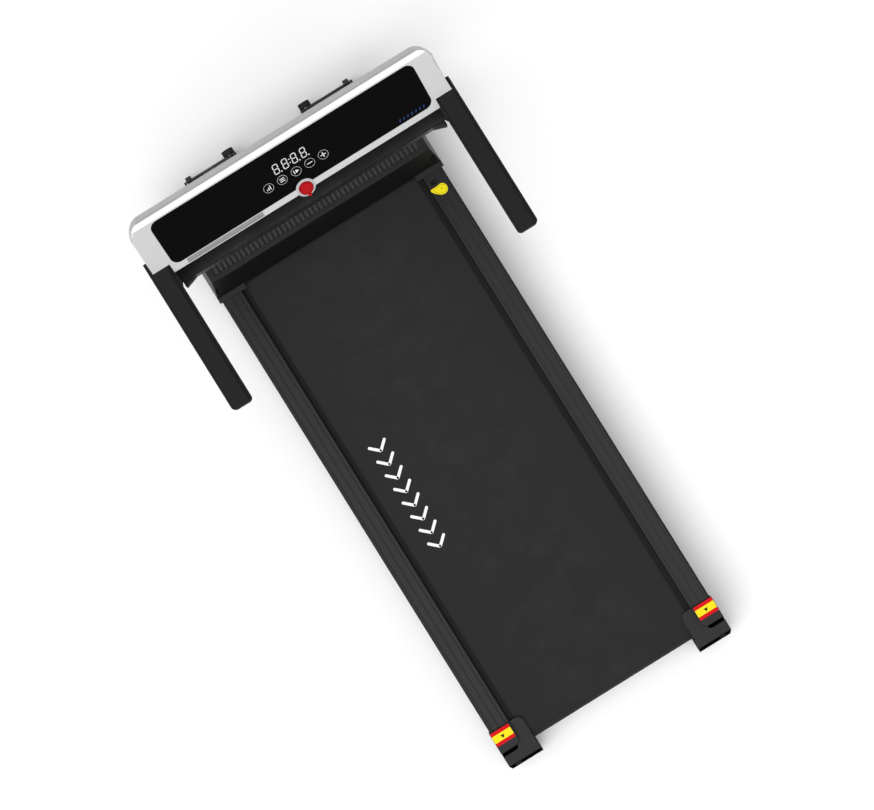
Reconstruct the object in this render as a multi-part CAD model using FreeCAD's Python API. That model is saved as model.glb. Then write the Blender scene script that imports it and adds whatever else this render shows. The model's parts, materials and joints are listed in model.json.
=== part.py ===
"""Fold-up treadmill: a base with uprights, handlebars and console, and a running deck that hinges on it.

Millimetres. +X is the user's right, +Y is towards the console, +Z is up. The origin is on the floor,
at the centre of the overall box. Each separate piece is written to parts/ under its own name.
"""
import FreeCAD, Part
import os
from math import asin, atan2, cos, hypot, pi, radians, sin, tan

V = FreeCAD.Vector

# --- driving dimensions: deck -------------------------------------------------------------------
DECK_REAR_Y = -720.0        # rear face of the end caps at the bottom
RAIL_WIDE = 47.4            # width of each side rail
RAIL_GAP = 12.6             # from the belt's edge to the rail
RAIL_TOP = 150.0            # height of the side rails' top
RAIL_WALL = 2.5
RAIL_SKIRT_Z = 86.0         # lower edge of the rails' outer skirt
GROOVE_STEPS = (8.4, 24.4, 39.4)    # grip grooves, from the rail's inner edge
GROOVE_WIDTH = 2.5
GROOVE_DEPTH = 1.2
BELT_HALF = 210.0
BELT_TOP = 140.0
BELT_THICK = 1.7
ROLLER_R = 22.0
ROLLER_WALL = 3.0
AXLE_R = 8.0
FRONT_ROLLER_Y = 486.0
BOARD_THICK = 18.0
BOARD_END_GAP = 9.0         # between the board's rear end and the belt round the roller
BEAM_WIDE = 28.0
BEAM_WALL = 2.5
CROSS_MEMBER_DEEP = 40.0
CROSS_MEMBER_TALL = 24.0
CUSHION_ROWS = 5
CUSHION_R = 9.0
OIL_PORT_Y = 420.0
OIL_PORT_R = 6.5

# --- driving dimensions: motor hood -------------------------------------------------------------
HOOD_REAR_Y = 449.0         # lip where the belt passes under
HOOD_SLOPE_DEEP = 30.0      # the steep rear slope, from the lip to the ridge
HOOD_FRONT_Y = 684.0
HOOD_RIDGE_Z = 209.0
HOOD_TAPER = 10.0           # the hood's sides lean in by this much
HOOD_WALL = 3.0
HOOD_SKIRT_Z = 67.0
HOOD_PARTING_Z = 108.0      # front joint between the hood and the belly pan
TAB_LONG = 10.5             # side tabs that lap over the rails
TAB_THICK = 5.0
HOOD_SCREW_INSET = 12.0     # from the hood's side and from its rear lip
VENT_INSET = 6.0            # from the hood's sides
VENT_DEEP = 76.0
VENT_RIBS = 46
VENT_THICK = 4.0
PAN_THICK = 2.5
MOTOR_Y, MOTOR_Z = 590.0, 120.0
MOTOR_R = 44.0
MOTOR_SPAN = (-196.0, -34.0)
MOTOR_SHAFT_R = 6.0
DRIVE_WIDE = 14.0           # width of the drive pulleys
ROLLER_PULLEY_R = 32.0
MOTOR_PULLEY_R = 15.0
DRIVE_BELT_THICK = 3.0
SWITCH = (-24.0, 128.0)     # x, z of the rocker switch's pivot
SWITCH_HALF = (7.0, 10.0)
SWITCH_PIN_R = 1.5
RESET = (16.0, 128.0)       # x, z of the breaker's reset button
RESET_R = 4.5
INLET_X, INLET_Z = (-88.0, -58.0), (117.0, 139.0)
INLET_DEEP = 24.0

# --- driving dimensions: rear caps --------------------------------------------------------------
CAP_LONG = 100.0
CAP_SLOPE_DEEP = 19.0       # the rear face leans forward by this much
CAP_PLATE_Z = 148.0
CAP_PLATE_THICK = 5.5
CAP_BLOCK_TOP = 158.0
CAP_BLOCK_LONG = 49.0
CAP_STEP = 9.0              # width of the step groove behind the raised block
CAP_STEP_DEEP = 4.0
CAP_ROUND = 15.0            # inner rear corner of the block, inner front corner of the plate
CAP_BOTTOM = 26.0
CAP_REAR_WALL = 6.0
CAP_WALL = 3.0

# --- driving dimensions: fold and base ----------------------------------------------------------
PIVOT_Y, PIVOT_Z = 612.0, 150.0
PIVOT_BOLT_R = 8.0
PIVOT_BUSH_R = 11.0
PIVOT_ARM_HALF = 24.0
PIVOT_ARM_THICK = 10.0
TUBE_WALL = 2.5
BASE_TUBE_BOTTOM = 6.0
BASE_TUBE_TOP = 36.0
FRONT_TUBE_Y = (606.0, 662.0)
FLOOR_TUBE_WIDE = 40.0
FLOOR_TUBE_REAR_Y = 200.0
REAR_TUBE_DEEP = 40.0
STRUT_Z = 44.0
STRUT_BASE_Y = 576.0        # pivot on the base
STRUT_DECK_Y = 246.0        # pivot under the deck
STRUT_R = 10.0
STRUT_BORE_R = 8.0
STRUT_ROD_R = 4.0
STRUT_EYE_R = 9.0
STRUT_EYE_HALF = 7.0
STRUT_PIN_R = 4.0
UPRIGHT_WIDE = 37.0
UPRIGHT_DEEP = 56.0
BRACKET_X = (81.0, 209.0)   # front wheel bracket, inner and outer side
BRACKET_FRONT_Y = 704.5
BRACKET_Z = (12.0, 72.0)
SHEET = 3.0
WHEEL_Y, WHEEL_Z = 690.0, 30.0
WHEEL_R = 27.0
WHEEL_WIDE = 13.0
WHEEL_AXLE_R = 4.0
FRONT_FOOT_X, FRONT_FOOT_Z = 95.6, 45.0
FRONT_FOOT_R = 13.25
FRONT_FOOT_LONG = 12.0
FRONT_Y = 720.0             # front face of the front rubber feet
REAR_FOOT_R = 18.0
REAR_FOOT_TALL = 22.0
STUD_R = 5.0

# --- driving dimensions: console and handlebars -------------------------------------------------
BAR_WIDE = 41.8
BAR_Z = (994.0, 1030.0)
BAR_Y = (188.6, 498.0)
BAR_ROUND = 9.0
BAR_WALL = 3.0
BAR_PLUG = 14.0
TIE_Y = (445.0, 495.0)      # cross tube between the uprights
TIE_Z = (851.0, 903.0)
GUSSET_LONG = 26.0
GUSSET_DEEP = 9.0
LIP_Y, LIP_Z = 457.1, 1015.0   # lower rear edge of the console's sloped face
FACE_SLOPE = 42.5              # degrees
RIDGE_ROUND = 9.5              # radius along the console's top edge
FACE_LONG = 135.5              # from the lip to the ridge, along the slope
CONSOLE_INSET = 7.5            # the console's ends, in from the handlebars' outer sides
CONSOLE_CORNER = 35.0
CONSOLE_BACK_DEEP = 18.0       # from the ridge to the console's front edge
CONSOLE_BACK_FALL = 46.0       # how far that edge is below the ridge
CONSOLE_WALL = 3.0
CONSOLE_LEAN_GAP = 0.8         # the leaning corners run out this far beyond the back
PANEL_INSET = 41.5             # from the console's ends
PANEL_BELOW, PANEL_ABOVE = 14.8, 15.6   # margins from the lip and from the ridge
PANEL_CORNER = 16.0
PANEL_THICK = 3.0
KEY_S = 8.2                    # key's centre, up the slope from the lip
KEY_R = 13.5
KEY_BOSS_R = 18.6
KEY_RING_R = 16.8
KEY_DEEP = 4.0
PHONE_X = (-250.0, -89.0)
PHONE_S = (3.0, 13.0)
PHONE_DEEP = 3.0

# --- clearances ---------------------------------------------------------------------------------
RUN_GAP = 0.05              # radial, shaft in a bore
MOVE_GAP = 0.5              # between pieces that move past each other
SEAT_GAP = 0.3              # between pieces that only sit together
SIDE_GAP = 8.0              # between the folding deck and the uprights
UNDER_GAP = 4.0             # between the belt's lower run and the cross members

# --- sizes that follow: across the deck ---------------------------------------------------------
RAIL_INNER = BELT_HALF + RAIL_GAP
RAIL_HALF = RAIL_INNER + RAIL_WIDE
BEAM_OUTER = RAIL_HALF - RAIL_WALL - 1.5
BEAM_INNER = BEAM_OUTER - BEAM_WIDE
BOARD_HALF = BEAM_OUTER - 10.0
CUSHION_X = (BEAM_INNER + BOARD_HALF) / 2
BOLT_X = (BEAM_INNER + BEAM_OUTER) / 2
DRIVE_X = (-BEAM_INNER + 7.0, -BEAM_INNER + 7.0 + DRIVE_WIDE)
CAP_OUTER = RAIL_HALF + 2.5
CAP_INNER = BELT_HALF - 14.0
CAP_BLOCK_INNER = RAIL_INNER + 1.4
HOOD_BASE_HALF = RAIL_HALF + 5.0
HOOD_TOP_HALF = HOOD_BASE_HALF - HOOD_TAPER
VENT_HALF = HOOD_TOP_HALF - VENT_INSET
UPRIGHT_X = (HOOD_BASE_HALF + SIDE_GAP, HOOD_BASE_HALF + SIDE_GAP + UPRIGHT_WIDE)
BAR_X = (UPRIGHT_X[0] - 1.3, UPRIGHT_X[0] - 1.3 + BAR_WIDE)
CONSOLE_HALF = BAR_X[1] - CONSOLE_INSET
PANEL_HALF = CONSOLE_HALF - PANEL_INSET
FLOOR_TUBE_X = (BEAM_OUTER - 12.0 - FLOOR_TUBE_WIDE, BEAM_OUTER - 12.0)
WHEEL_X = BRACKET_X[1] - 12.0

# --- sizes that follow: along the deck and upwards ----------------------------------------------
AXLE_Z = BELT_TOP - BELT_THICK - SEAT_GAP - ROLLER_R
BELT_LOOP_R = ROLLER_R + SEAT_GAP
BOARD_TOP = BELT_TOP - BELT_THICK - SEAT_GAP
BEAM_TOP = AXLE_Z - 6.0
BEAM_BOTTOM = AXLE_Z - BELT_LOOP_R - BELT_THICK - UNDER_GAP - CROSS_MEMBER_TALL
REAR_ROLLER_Y = DECK_REAR_Y + 66.0
CAP_TOP_REAR_Y = DECK_REAR_Y + CAP_SLOPE_DEEP
CAP_FRONT_Y = DECK_REAR_Y + CAP_LONG
CAP_BLOCK_REAR_Y = CAP_FRONT_Y - CAP_BLOCK_LONG
CAP_INSIDE_Y = CAP_TOP_REAR_Y + CAP_REAR_WALL
BEAM_REAR_Y = CAP_INSIDE_Y + 1.0
REAR_FOOT = (BOLT_X, DECK_REAR_Y + 60.0)
PULLEY_REACH = ROLLER_PULLEY_R + DRIVE_BELT_THICK + SEAT_GAP
BOARD_Y = (REAR_ROLLER_Y + ROLLER_R + BOARD_END_GAP, FRONT_ROLLER_Y - PULLEY_REACH - BOARD_END_GAP / 2)
CROSS_MEMBER_Y = (DECK_REAR_Y + 200.0, (DECK_REAR_Y + 200.0 + STRUT_DECK_Y) / 2, STRUT_DECK_Y)
HOOD_RIDGE_Y = HOOD_REAR_Y + HOOD_SLOPE_DEEP
VENT_Y = (HOOD_RIDGE_Y + 6.0, HOOD_RIDGE_Y + 6.0 + VENT_DEEP)
HOOD_SCREW = (HOOD_BASE_HALF - HOOD_SCREW_INSET, HOOD_REAR_Y + HOOD_SCREW_INSET)
SWITCH_WAY = (SWITCH_HALF[0] + MOVE_GAP, SWITCH_HALF[1] + 3 * MOVE_GAP)   # half the opening round the rocker
SWING_R = PIVOT_Z - BEAM_BOTTOM + PAN_THICK     # the hood's front end turns inside this radius
TAN_LEAN = (FRONT_TUBE_Y[0] - TIE_Y[0] - 2.0) / ((TIE_Z[0] + TIE_Z[1]) / 2 - BASE_TUBE_TOP)
UPRIGHT_TOP = BAR_Z[0]
RIDGE_Y = LIP_Y + FACE_LONG * cos(radians(FACE_SLOPE))
RIDGE_Z = LIP_Z + FACE_LONG * sin(radians(FACE_SLOPE))
PANEL_S = (PANEL_BELOW, FACE_LONG - PANEL_ABOVE)   # the panel's span up the slope from the lip

os.makedirs("parts", exist_ok=True)


# --- helpers ------------------------------------------------------------------------------------
LIFT = {
    "x": lambda a, b: V(0, a, b),
    "y": lambda a, b: V(a, 0, b),
    "z": lambda a, b: V(a, b, 0),
}
ALONG = {"x": V(1, 0, 0), "y": V(0, 1, 0), "z": V(0, 0, 1)}


def outline(points, across):
    """A closed wire through the points; a third number on a point rounds its corner."""
    flat = [V(p[0], p[1], 0) for p in points]
    corners = []
    for i, point in enumerate(points):
        here, before, after = flat[i], flat[i - 1], flat[(i + 1) % len(flat)]
        radius = point[2] if len(point) > 2 else 0
        if radius == 0:
            corners.append((here, None, here))
            continue
        back = (before - here).normalize()
        ahead = (after - here).normalize()
        half = back.getAngle(ahead) / 2
        centre = here + (back + ahead).normalize() * (radius / sin(half))
        middle = centre + (here - centre).normalize() * radius
        reach = radius / tan(half)
        corners.append((here + back * reach, middle, here + ahead * reach))
    lift = LIFT[across]
    edges = []
    for i, (enter, middle, leave) in enumerate(corners):
        if middle is not None:
            ends = [lift(p.x, p.y) for p in (enter, middle, leave)]
            edges.append(Part.Arc(*ends).toShape())
        following = corners[(i + 1) % len(corners)][0]
        if leave.distanceToPoint(following) > 1e-6:
            edges.append(Part.LineSegment(lift(leave.x, leave.y), lift(following.x, following.y)).toShape())
    return Part.Wire(edges)


def prism(points, across, lo, hi, inset=0.0):
    """The outline, pulled in by inset, as a solid from lo to hi along the axis across."""
    wire = outline(points, across)
    if inset:
        wire = wire.makeOffset2D(-inset)
    solid = Part.Face(wire).extrude(ALONG[across] * (hi - lo))
    solid.translate(ALONG[across] * lo)
    return solid


def block(x, y, z):
    return Part.makeBox(x[1] - x[0], y[1] - y[0], z[1] - z[0], V(x[0], y[0], z[0]))


def rod(axis, radius, lo, hi, a, b):
    """A round bar along axis from lo to hi; a and b are its place across that axis."""
    start = LIFT[axis](a, b) + ALONG[axis] * lo
    return Part.makeCylinder(radius, hi - lo, start, ALONG[axis])


def ring(axis, outer, inner, lo, hi, a, b):
    return rod(axis, outer, lo, hi, a, b).cut(rod(axis, inner, lo, hi, a, b))


def rectangle(a, b, radius=0.0):
    return [(a[0], b[0], radius), (a[1], b[0], radius), (a[1], b[1], radius), (a[0], b[1], radius)]


def tube(across, a, b, lo, hi, wall, radius):
    """A rectangular tube with rounded corners."""
    outer = prism(rectangle(a, b, radius), across, lo, hi)
    inner_a, inner_b = (a[0] + wall, a[1] - wall), (b[0] + wall, b[1] - wall)
    return outer.cut(prism(rectangle(inner_a, inner_b, max(radius - wall, 0.5)), across, lo, hi))


def grown(span, by):
    return (span[0] - by, span[1] + by)


def mirrored(shape):
    return shape.mirror(V(0, 0, 0), V(1, 0, 0))


def pair(shape):
    return [mirrored(shape), shape]


def hexagon(across, flats, lo, hi, a, b):
    corner = flats / 2 / cos(pi / 6)
    points = [(a + corner * cos(pi / 3 * i), b + corner * sin(pi / 3 * i)) for i in range(6)]
    return prism(points, across, lo, hi)


def loop(near, far, near_r, far_r, thick, lo, hi):
    """A belt along X round two pulleys; near and far are (y, z) centres."""
    def body(extra):
        r1, r2 = near_r + extra, far_r + extra
        dy, dz = far[0] - near[0], far[1] - near[1]
        lean = atan2(dz, dy)
        tilt = asin((r1 - r2) / hypot(dy, dz))
        discs = [rod("x", r1, lo, hi, *near), rod("x", r2, lo, hi, *far)]
        up, down = lean + pi / 2 - tilt, lean - pi / 2 + tilt
        sides = [
            (near[0] + r1 * cos(up), near[1] + r1 * sin(up)),
            (far[0] + r2 * cos(up), far[1] + r2 * sin(up)),
            (far[0] + r2 * cos(down), far[1] + r2 * sin(down)),
            (near[0] + r1 * cos(down), near[1] + r1 * sin(down)),
        ]
        return prism(sides, "x", lo, hi).multiFuse(discs).removeSplitter()
    return body(thick).cut(body(0.0))


def on_face(shape):
    """Moves a shape drawn as (x, up the slope, out of the face) onto the console's sloped face."""
    placed = shape.copy()
    placed.rotate(V(0, 0, 0), V(1, 0, 0), FACE_SLOPE)
    placed.translate(V(0, LIP_Y, LIP_Z))
    return placed


def save(name, *shapes):
    whole = shapes[0] if len(shapes) == 1 else Part.makeCompound(list(shapes))
    sound = all(s.isValid() and s.Volume > 0 for s in whole.Solids)
    if not sound or not whole.Solids:
        raise RuntimeError(name + " is not a sound solid")
    whole.exportStep("parts/" + name + ".step")
    print(f"{name:24s} {len(whole.Solids):3d} solids {whole.Volume / 1000:9.1f} cm3")


# --- deck frame ---------------------------------------------------------------------------------
def deck_beam():
    """Right-hand longitudinal tube with the pivot arm welded to its front end."""
    front_y = PIVOT_Y - 1.0
    beam = tube("y", (BEAM_INNER, BEAM_OUTER), (BEAM_BOTTOM, BEAM_TOP), BEAM_REAR_Y, front_y, BEAM_WALL, 4.0)
    arm_x = (BEAM_OUTER - PIVOT_ARM_THICK, BEAM_OUTER)
    arm_outline = [
        (PIVOT_Y - 2 * PIVOT_ARM_HALF, BEAM_TOP),
        (front_y, BEAM_TOP),
        (PIVOT_Y + PIVOT_ARM_HALF, PIVOT_Z - 6.0, 8.0),
        (PIVOT_Y + PIVOT_ARM_HALF - 4, PIVOT_Z + PIVOT_ARM_HALF, 14.0),
        (PIVOT_Y - PIVOT_ARM_HALF, PIVOT_Z + PIVOT_ARM_HALF, 14.0),
    ]
    arm = prism(arm_outline, "x", *arm_x)
    arm = arm.cut(rod("x", PIVOT_BUSH_R, arm_x[0], arm_x[1], PIVOT_Y, PIVOT_Z))
    beam = beam.fuse(arm)
    for y in (FRONT_ROLLER_Y, REAR_ROLLER_Y):
        beam = beam.cut(rod("x", AXLE_R, BEAM_INNER - 1, BEAM_OUTER + 1, y, AXLE_Z))
    stud_x, stud_y = REAR_FOOT
    return beam.cut(rod("z", STUD_R, BEAM_BOTTOM - 1, BEAM_BOTTOM + BEAM_WALL, stud_x, stud_y))


beam = deck_beam()
save("deck_beam_left", mirrored(beam))
save("deck_beam_right", beam)

members = []
for y in CROSS_MEMBER_Y:
    deep = (y - CROSS_MEMBER_DEEP / 2, y + CROSS_MEMBER_DEEP / 2)
    tall = (BEAM_BOTTOM, BEAM_BOTTOM + CROSS_MEMBER_TALL)
    members.append(tube("x", deep, tall, -BEAM_INNER, BEAM_INNER, TUBE_WALL, 3.0))
save("deck_cross_members", *members)

bush_span = (BEAM_OUTER - PIVOT_ARM_THICK - 2.0, BEAM_OUTER + 2.0)
save("pivot_bushes", *pair(ring("x", PIVOT_BUSH_R, PIVOT_BOLT_R + RUN_GAP, *bush_span, PIVOT_Y, PIVOT_Z)))

board_z = (BOARD_TOP - BOARD_THICK, BOARD_TOP)
board = prism(rectangle((-BOARD_HALF, BOARD_HALF), BOARD_Y, 4.0), "z", *board_z)
save("running_board", board)

cushions = []
for i in range(CUSHION_ROWS):
    y = BOARD_Y[0] + (BOARD_Y[1] - BOARD_Y[0]) * (i + 0.5) / CUSHION_ROWS
    cushions += pair(rod("z", CUSHION_R, BEAM_TOP, board_z[0], CUSHION_X, y))
save("board_cushions", *cushions)


# --- rollers, belts and drive -------------------------------------------------------------------
def roller(y, with_pulley):
    half = BELT_HALF - 2.0
    shell = ring("x", ROLLER_R, ROLLER_R - ROLLER_WALL, -half, half, y, AXLE_Z)
    hubs = [ring("x", ROLLER_R, AXLE_R + RUN_GAP, lo, lo + 14.0, y, AXLE_Z) for lo in (-half, half - 14.0)]
    pieces = hubs
    if with_pulley:
        groove_r = ROLLER_PULLEY_R
        pieces.append(ring("x", groove_r, AXLE_R + RUN_GAP, *DRIVE_X, y, AXLE_Z))
        for lo in (DRIVE_X[0], DRIVE_X[1] - 1.5):
            pieces.append(ring("x", groove_r + 2.0, AXLE_R + RUN_GAP, lo, lo + 1.5, y, AXLE_Z))
        pieces.append(ring("x", AXLE_R + 5.0, AXLE_R + RUN_GAP, DRIVE_X[1], -half, y, AXLE_Z))
    return shell.multiFuse(pieces).removeSplitter()


save("front_roller", roller(FRONT_ROLLER_Y, True))
save("rear_roller", roller(REAR_ROLLER_Y, False))
axle_half = BEAM_OUTER - 3.0
axles = [rod("x", AXLE_R, -axle_half, axle_half, y, AXLE_Z) for y in (FRONT_ROLLER_Y, REAR_ROLLER_Y)]
save("roller_axles", *axles)

rear_centre, front_centre = (REAR_ROLLER_Y, AXLE_Z), (FRONT_ROLLER_Y, AXLE_Z)
belt_x = (-BELT_HALF, BELT_HALF)
save("running_belt", loop(rear_centre, front_centre, BELT_LOOP_R, BELT_LOOP_R, BELT_THICK, *belt_x))

drive_belt_x = (DRIVE_X[0] + 2.0, DRIVE_X[1] - 2.0)
pulley_radii = (ROLLER_PULLEY_R + SEAT_GAP, MOTOR_PULLEY_R + SEAT_GAP)
save("drive_belt", loop(front_centre, (MOTOR_Y, MOTOR_Z), *pulley_radii, DRIVE_BELT_THICK, *drive_belt_x))

motor = rod("x", MOTOR_R, *MOTOR_SPAN, MOTOR_Y, MOTOR_Z)
motor = motor.fuse(rod("x", MOTOR_R * 0.6, MOTOR_SPAN[1], MOTOR_SPAN[1] + 8.0, MOTOR_Y, MOTOR_Z))
motor = motor.cut(rod("x", MOTOR_SHAFT_R + RUN_GAP, MOTOR_SPAN[0], MOTOR_SPAN[0] + 40.0, MOTOR_Y, MOTOR_Z))
save("drive_motor", motor)

shaft = rod("x", MOTOR_SHAFT_R, DRIVE_X[0], MOTOR_SPAN[0] + 38.0, MOTOR_Y, MOTOR_Z)
pulley = rod("x", MOTOR_PULLEY_R, *DRIVE_X, MOTOR_Y, MOTOR_Z)
flange_starts = (DRIVE_X[0], DRIVE_X[1] - 1.5)
flanges = [rod("x", MOTOR_PULLEY_R + 2.0, lo, lo + 1.5, MOTOR_Y, MOTOR_Z) for lo in flange_starts]
flywheel = rod("x", MOTOR_R - 8.0, DRIVE_X[1] + 3.0, MOTOR_SPAN[0] - 4.0, MOTOR_Y, MOTOR_Z)
save("motor_pulley", shaft.multiFuse([pulley, flywheel] + flanges).removeSplitter())

cradle_x = (MOTOR_SPAN[0] + 20.0, MOTOR_SPAN[1] - 20.0)
cradle = block(cradle_x, (MOTOR_Y - 30.0, MOTOR_Y + 22.0), (BEAM_BOTTOM, MOTOR_Z - 20.0))
cradle = cradle.cut(rod("x", MOTOR_R, *cradle_x, MOTOR_Y, MOTOR_Z))
save("motor_bracket", cradle)

controller = prism(rectangle((34.0, 200.0), (525.0, 640.0), 6.0), "z", BEAM_BOTTOM + 12.0, BEAM_BOTTOM + 46.0)
leg_places = [(x, y) for x in (48.0, 186.0) for y in (539.0, 606.0)]
controller_legs = [rod("z", 4.0, BEAM_BOTTOM, BEAM_BOTTOM + 12.0, x, y) for x, y in leg_places]
save("controller_box", controller.multiFuse(controller_legs))


# --- side rails and their fittings --------------------------------------------------------------
def side_rail():
    """Right-hand foot rail: a moulded channel with lengthwise grip grooves."""
    inside = RAIL_HALF - RAIL_WALL
    section = [
        (RAIL_HALF, RAIL_SKIRT_Z),
        (RAIL_HALF, RAIL_TOP, 4.0),
        (RAIL_INNER, RAIL_TOP, 2.0),
        (RAIL_INNER, BOARD_TOP + SEAT_GAP),
        (RAIL_INNER + RAIL_WALL, BOARD_TOP + SEAT_GAP),
        (RAIL_INNER + RAIL_WALL, RAIL_TOP - RAIL_WALL),
        (inside, RAIL_TOP - RAIL_WALL, 2.0),
        (inside, RAIL_SKIRT_Z),
    ]
    rail_y = (CAP_FRONT_Y, HOOD_REAR_Y + 1.0)
    rail = prism(section, "y", *rail_y)
    for step in GROOVE_STEPS:
        middle = RAIL_INNER + step
        sides = (middle - GROOVE_WIDTH / 2, middle + GROOVE_WIDTH / 2)
        rail = rail.cut(block(sides, rail_y, (RAIL_TOP - GROOVE_DEPTH, RAIL_TOP + 1)))
    return rail


OIL_PORT = (RAIL_INNER + (GROOVE_STEPS[0] + GROOVE_STEPS[1]) / 2 - 1.0, OIL_PORT_Y)
rail_right = side_rail()
save("side_rail_left", mirrored(rail_right))
port_hole = rod("z", OIL_PORT_R, RAIL_TOP - 5, RAIL_TOP + 1, *OIL_PORT)
save("side_rail_right", rail_right.cut(port_hole))
plug = ring("z", OIL_PORT_R, OIL_PORT_R - 2.0, RAIL_TOP - RAIL_WALL - 5.0, RAIL_TOP - 0.6, *OIL_PORT)
plug_floor = (RAIL_TOP - RAIL_WALL - 5.0, RAIL_TOP - RAIL_WALL - 2.0)
plug = plug.fuse(rod("z", OIL_PORT_R - 2.0, *plug_floor, *OIL_PORT))
save("oil_port_plug", plug)


# --- motor hood and belly pan -------------------------------------------------------------------
HOOD_SIDE = [
    (HOOD_REAR_Y, HOOD_SKIRT_Z),
    (HOOD_REAR_Y, RAIL_TOP + 3.0, 2.0),
    (HOOD_RIDGE_Y, HOOD_RIDGE_Z, 6.0),
    (HOOD_FRONT_Y - 84.0, HOOD_RIDGE_Z + 3.0, 60.0),
    (HOOD_FRONT_Y - 18.0, HOOD_RIDGE_Z - 12.0, 26.0),
    (HOOD_FRONT_Y, PIVOT_Z + 8.0, 30.0),
    (HOOD_FRONT_Y, HOOD_SKIRT_Z),
]
HOOD_SECTION = [
    (-HOOD_BASE_HALF, HOOD_SKIRT_Z),
    (-HOOD_BASE_HALF, RAIL_TOP),
    (-HOOD_TOP_HALF, HOOD_RIDGE_Z + 3.0, 7.0),
    (HOOD_TOP_HALF, HOOD_RIDGE_Z + 3.0, 7.0),
    (HOOD_BASE_HALF, RAIL_TOP),
    (HOOD_BASE_HALF, HOOD_SKIRT_Z),
]


def hood_body(inset):
    side = prism(HOOD_SIDE, "x", -HOOD_BASE_HALF - 1, HOOD_BASE_HALF + 1, inset)
    section = prism(HOOD_SECTION, "y", HOOD_REAR_Y - 1, HOOD_FRONT_Y + 1, inset)
    return side.common(section)


def motor_hood():
    hood = hood_body(0.0)
    hollow = hood_body(HOOD_WALL)
    inner_half = HOOD_BASE_HALF - HOOD_WALL
    inner_y = (HOOD_REAR_Y + HOOD_WALL, HOOD_FRONT_Y - HOOD_WALL)
    low = block((-inner_half, inner_half), inner_y, (0, HOOD_SKIRT_Z + 2 * HOOD_WALL))
    hood = hood.cut(hollow.fuse(low))
    # the belt and the rails pass under the rear lip
    mouth = block((-RAIL_INNER, RAIL_INNER), (HOOD_REAR_Y - 1, HOOD_REAR_Y + 8), (0, BELT_TOP + 2.0))
    rails_half = RAIL_HALF + SEAT_GAP
    rail_way = block((-rails_half, rails_half), (HOOD_REAR_Y - 1, HOOD_REAR_Y + 8), (0, RAIL_TOP + SEAT_GAP))
    hood = hood.cut(mouth).cut(rail_way)
    # side tabs lap over the rails
    tab_x = (BELT_HALF, HOOD_BASE_HALF)
    tab_z = (RAIL_TOP + SEAT_GAP, RAIL_TOP + SEAT_GAP + TAB_THICK)
    tab = prism(rectangle(tab_x, (HOOD_REAR_Y - TAB_LONG, HOOD_REAR_Y + 6.0), 2.0), "z", *tab_z)
    hood = hood.multiFuse(pair(tab))
    # screw pockets at the rear corners
    x, y = HOOD_SCREW
    seat = RAIL_TOP + 6.0
    post = rod("z", 9.0, RAIL_TOP + SEAT_GAP, RAIL_TOP + 40.0, x, y).common(hood_body(0.0))
    hood = hood.multiFuse(pair(post))
    for pocket in pair(rod("z", 6.0, seat, HOOD_RIDGE_Z, x, y)):
        hood = hood.cut(pocket)
    for hole in pair(rod("z", 2.0, RAIL_TOP - 1, seat + 1, x, y)):
        hood = hood.cut(hole)
    # vent opening, pivot holes and the sockets on the front
    hood = hood.cut(block((-VENT_HALF, VENT_HALF), VENT_Y, (HOOD_RIDGE_Z - 12, HOOD_RIDGE_Z + 9)))
    hood = hood.cut(rod("x", PIVOT_BUSH_R + 2.0, -HOOD_BASE_HALF - 1, HOOD_BASE_HALF + 1, PIVOT_Y, PIVOT_Z))
    front = (HOOD_FRONT_Y - 2 * HOOD_WALL, HOOD_FRONT_Y + 1)
    whole_x = (-HOOD_BASE_HALF - 1, HOOD_BASE_HALF + 1)
    hood = hood.cut(block(whole_x, (PIVOT_Y, HOOD_FRONT_Y + 1), (0, HOOD_PARTING_Z)))
    sx, sz = SWITCH
    hood = hood.cut(block(grown((sx, sx), SWITCH_WAY[0]), front, grown((sz, sz), SWITCH_WAY[1])))
    hood = hood.cut(rod("y", RESET_R + MOVE_GAP, *front, *RESET))
    return hood.cut(block(INLET_X, front, INLET_Z))


save("motor_hood", motor_hood())


def hood_vent():
    """Grille plate with narrow slots between ribs that run lengthwise."""
    top = HOOD_RIDGE_Z + 0.2
    spread = (-VENT_HALF + SEAT_GAP, VENT_HALF - SEAT_GAP)
    deep = (VENT_Y[0] + SEAT_GAP, VENT_Y[1] - SEAT_GAP)
    plate = block(spread, deep, (top - VENT_THICK, top))
    border = 4.0
    pitch = 2 * (VENT_HALF - border) / VENT_RIBS
    half_slot = pitch * 0.29
    slots = []
    for i in range(VENT_RIBS):
        x = -VENT_HALF + border + pitch * (i + 0.5)
        slots.append(block((x - half_slot, x + half_slot), (deep[0] + 5, deep[1] - 5), (top - 9, top + 1)))
    return plate.cut(Part.makeCompound(slots))


save("hood_vent", hood_vent())
screw_x, screw_y = HOOD_SCREW
screw = rod("z", 2.0, RAIL_TOP + SEAT_GAP, RAIL_TOP + 6.0, screw_x, screw_y)
screw = screw.fuse(rod("z", 4.0, RAIL_TOP + 6.0, RAIL_TOP + 9.0, screw_x, screw_y))
save("hood_screws", *pair(screw))


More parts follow.
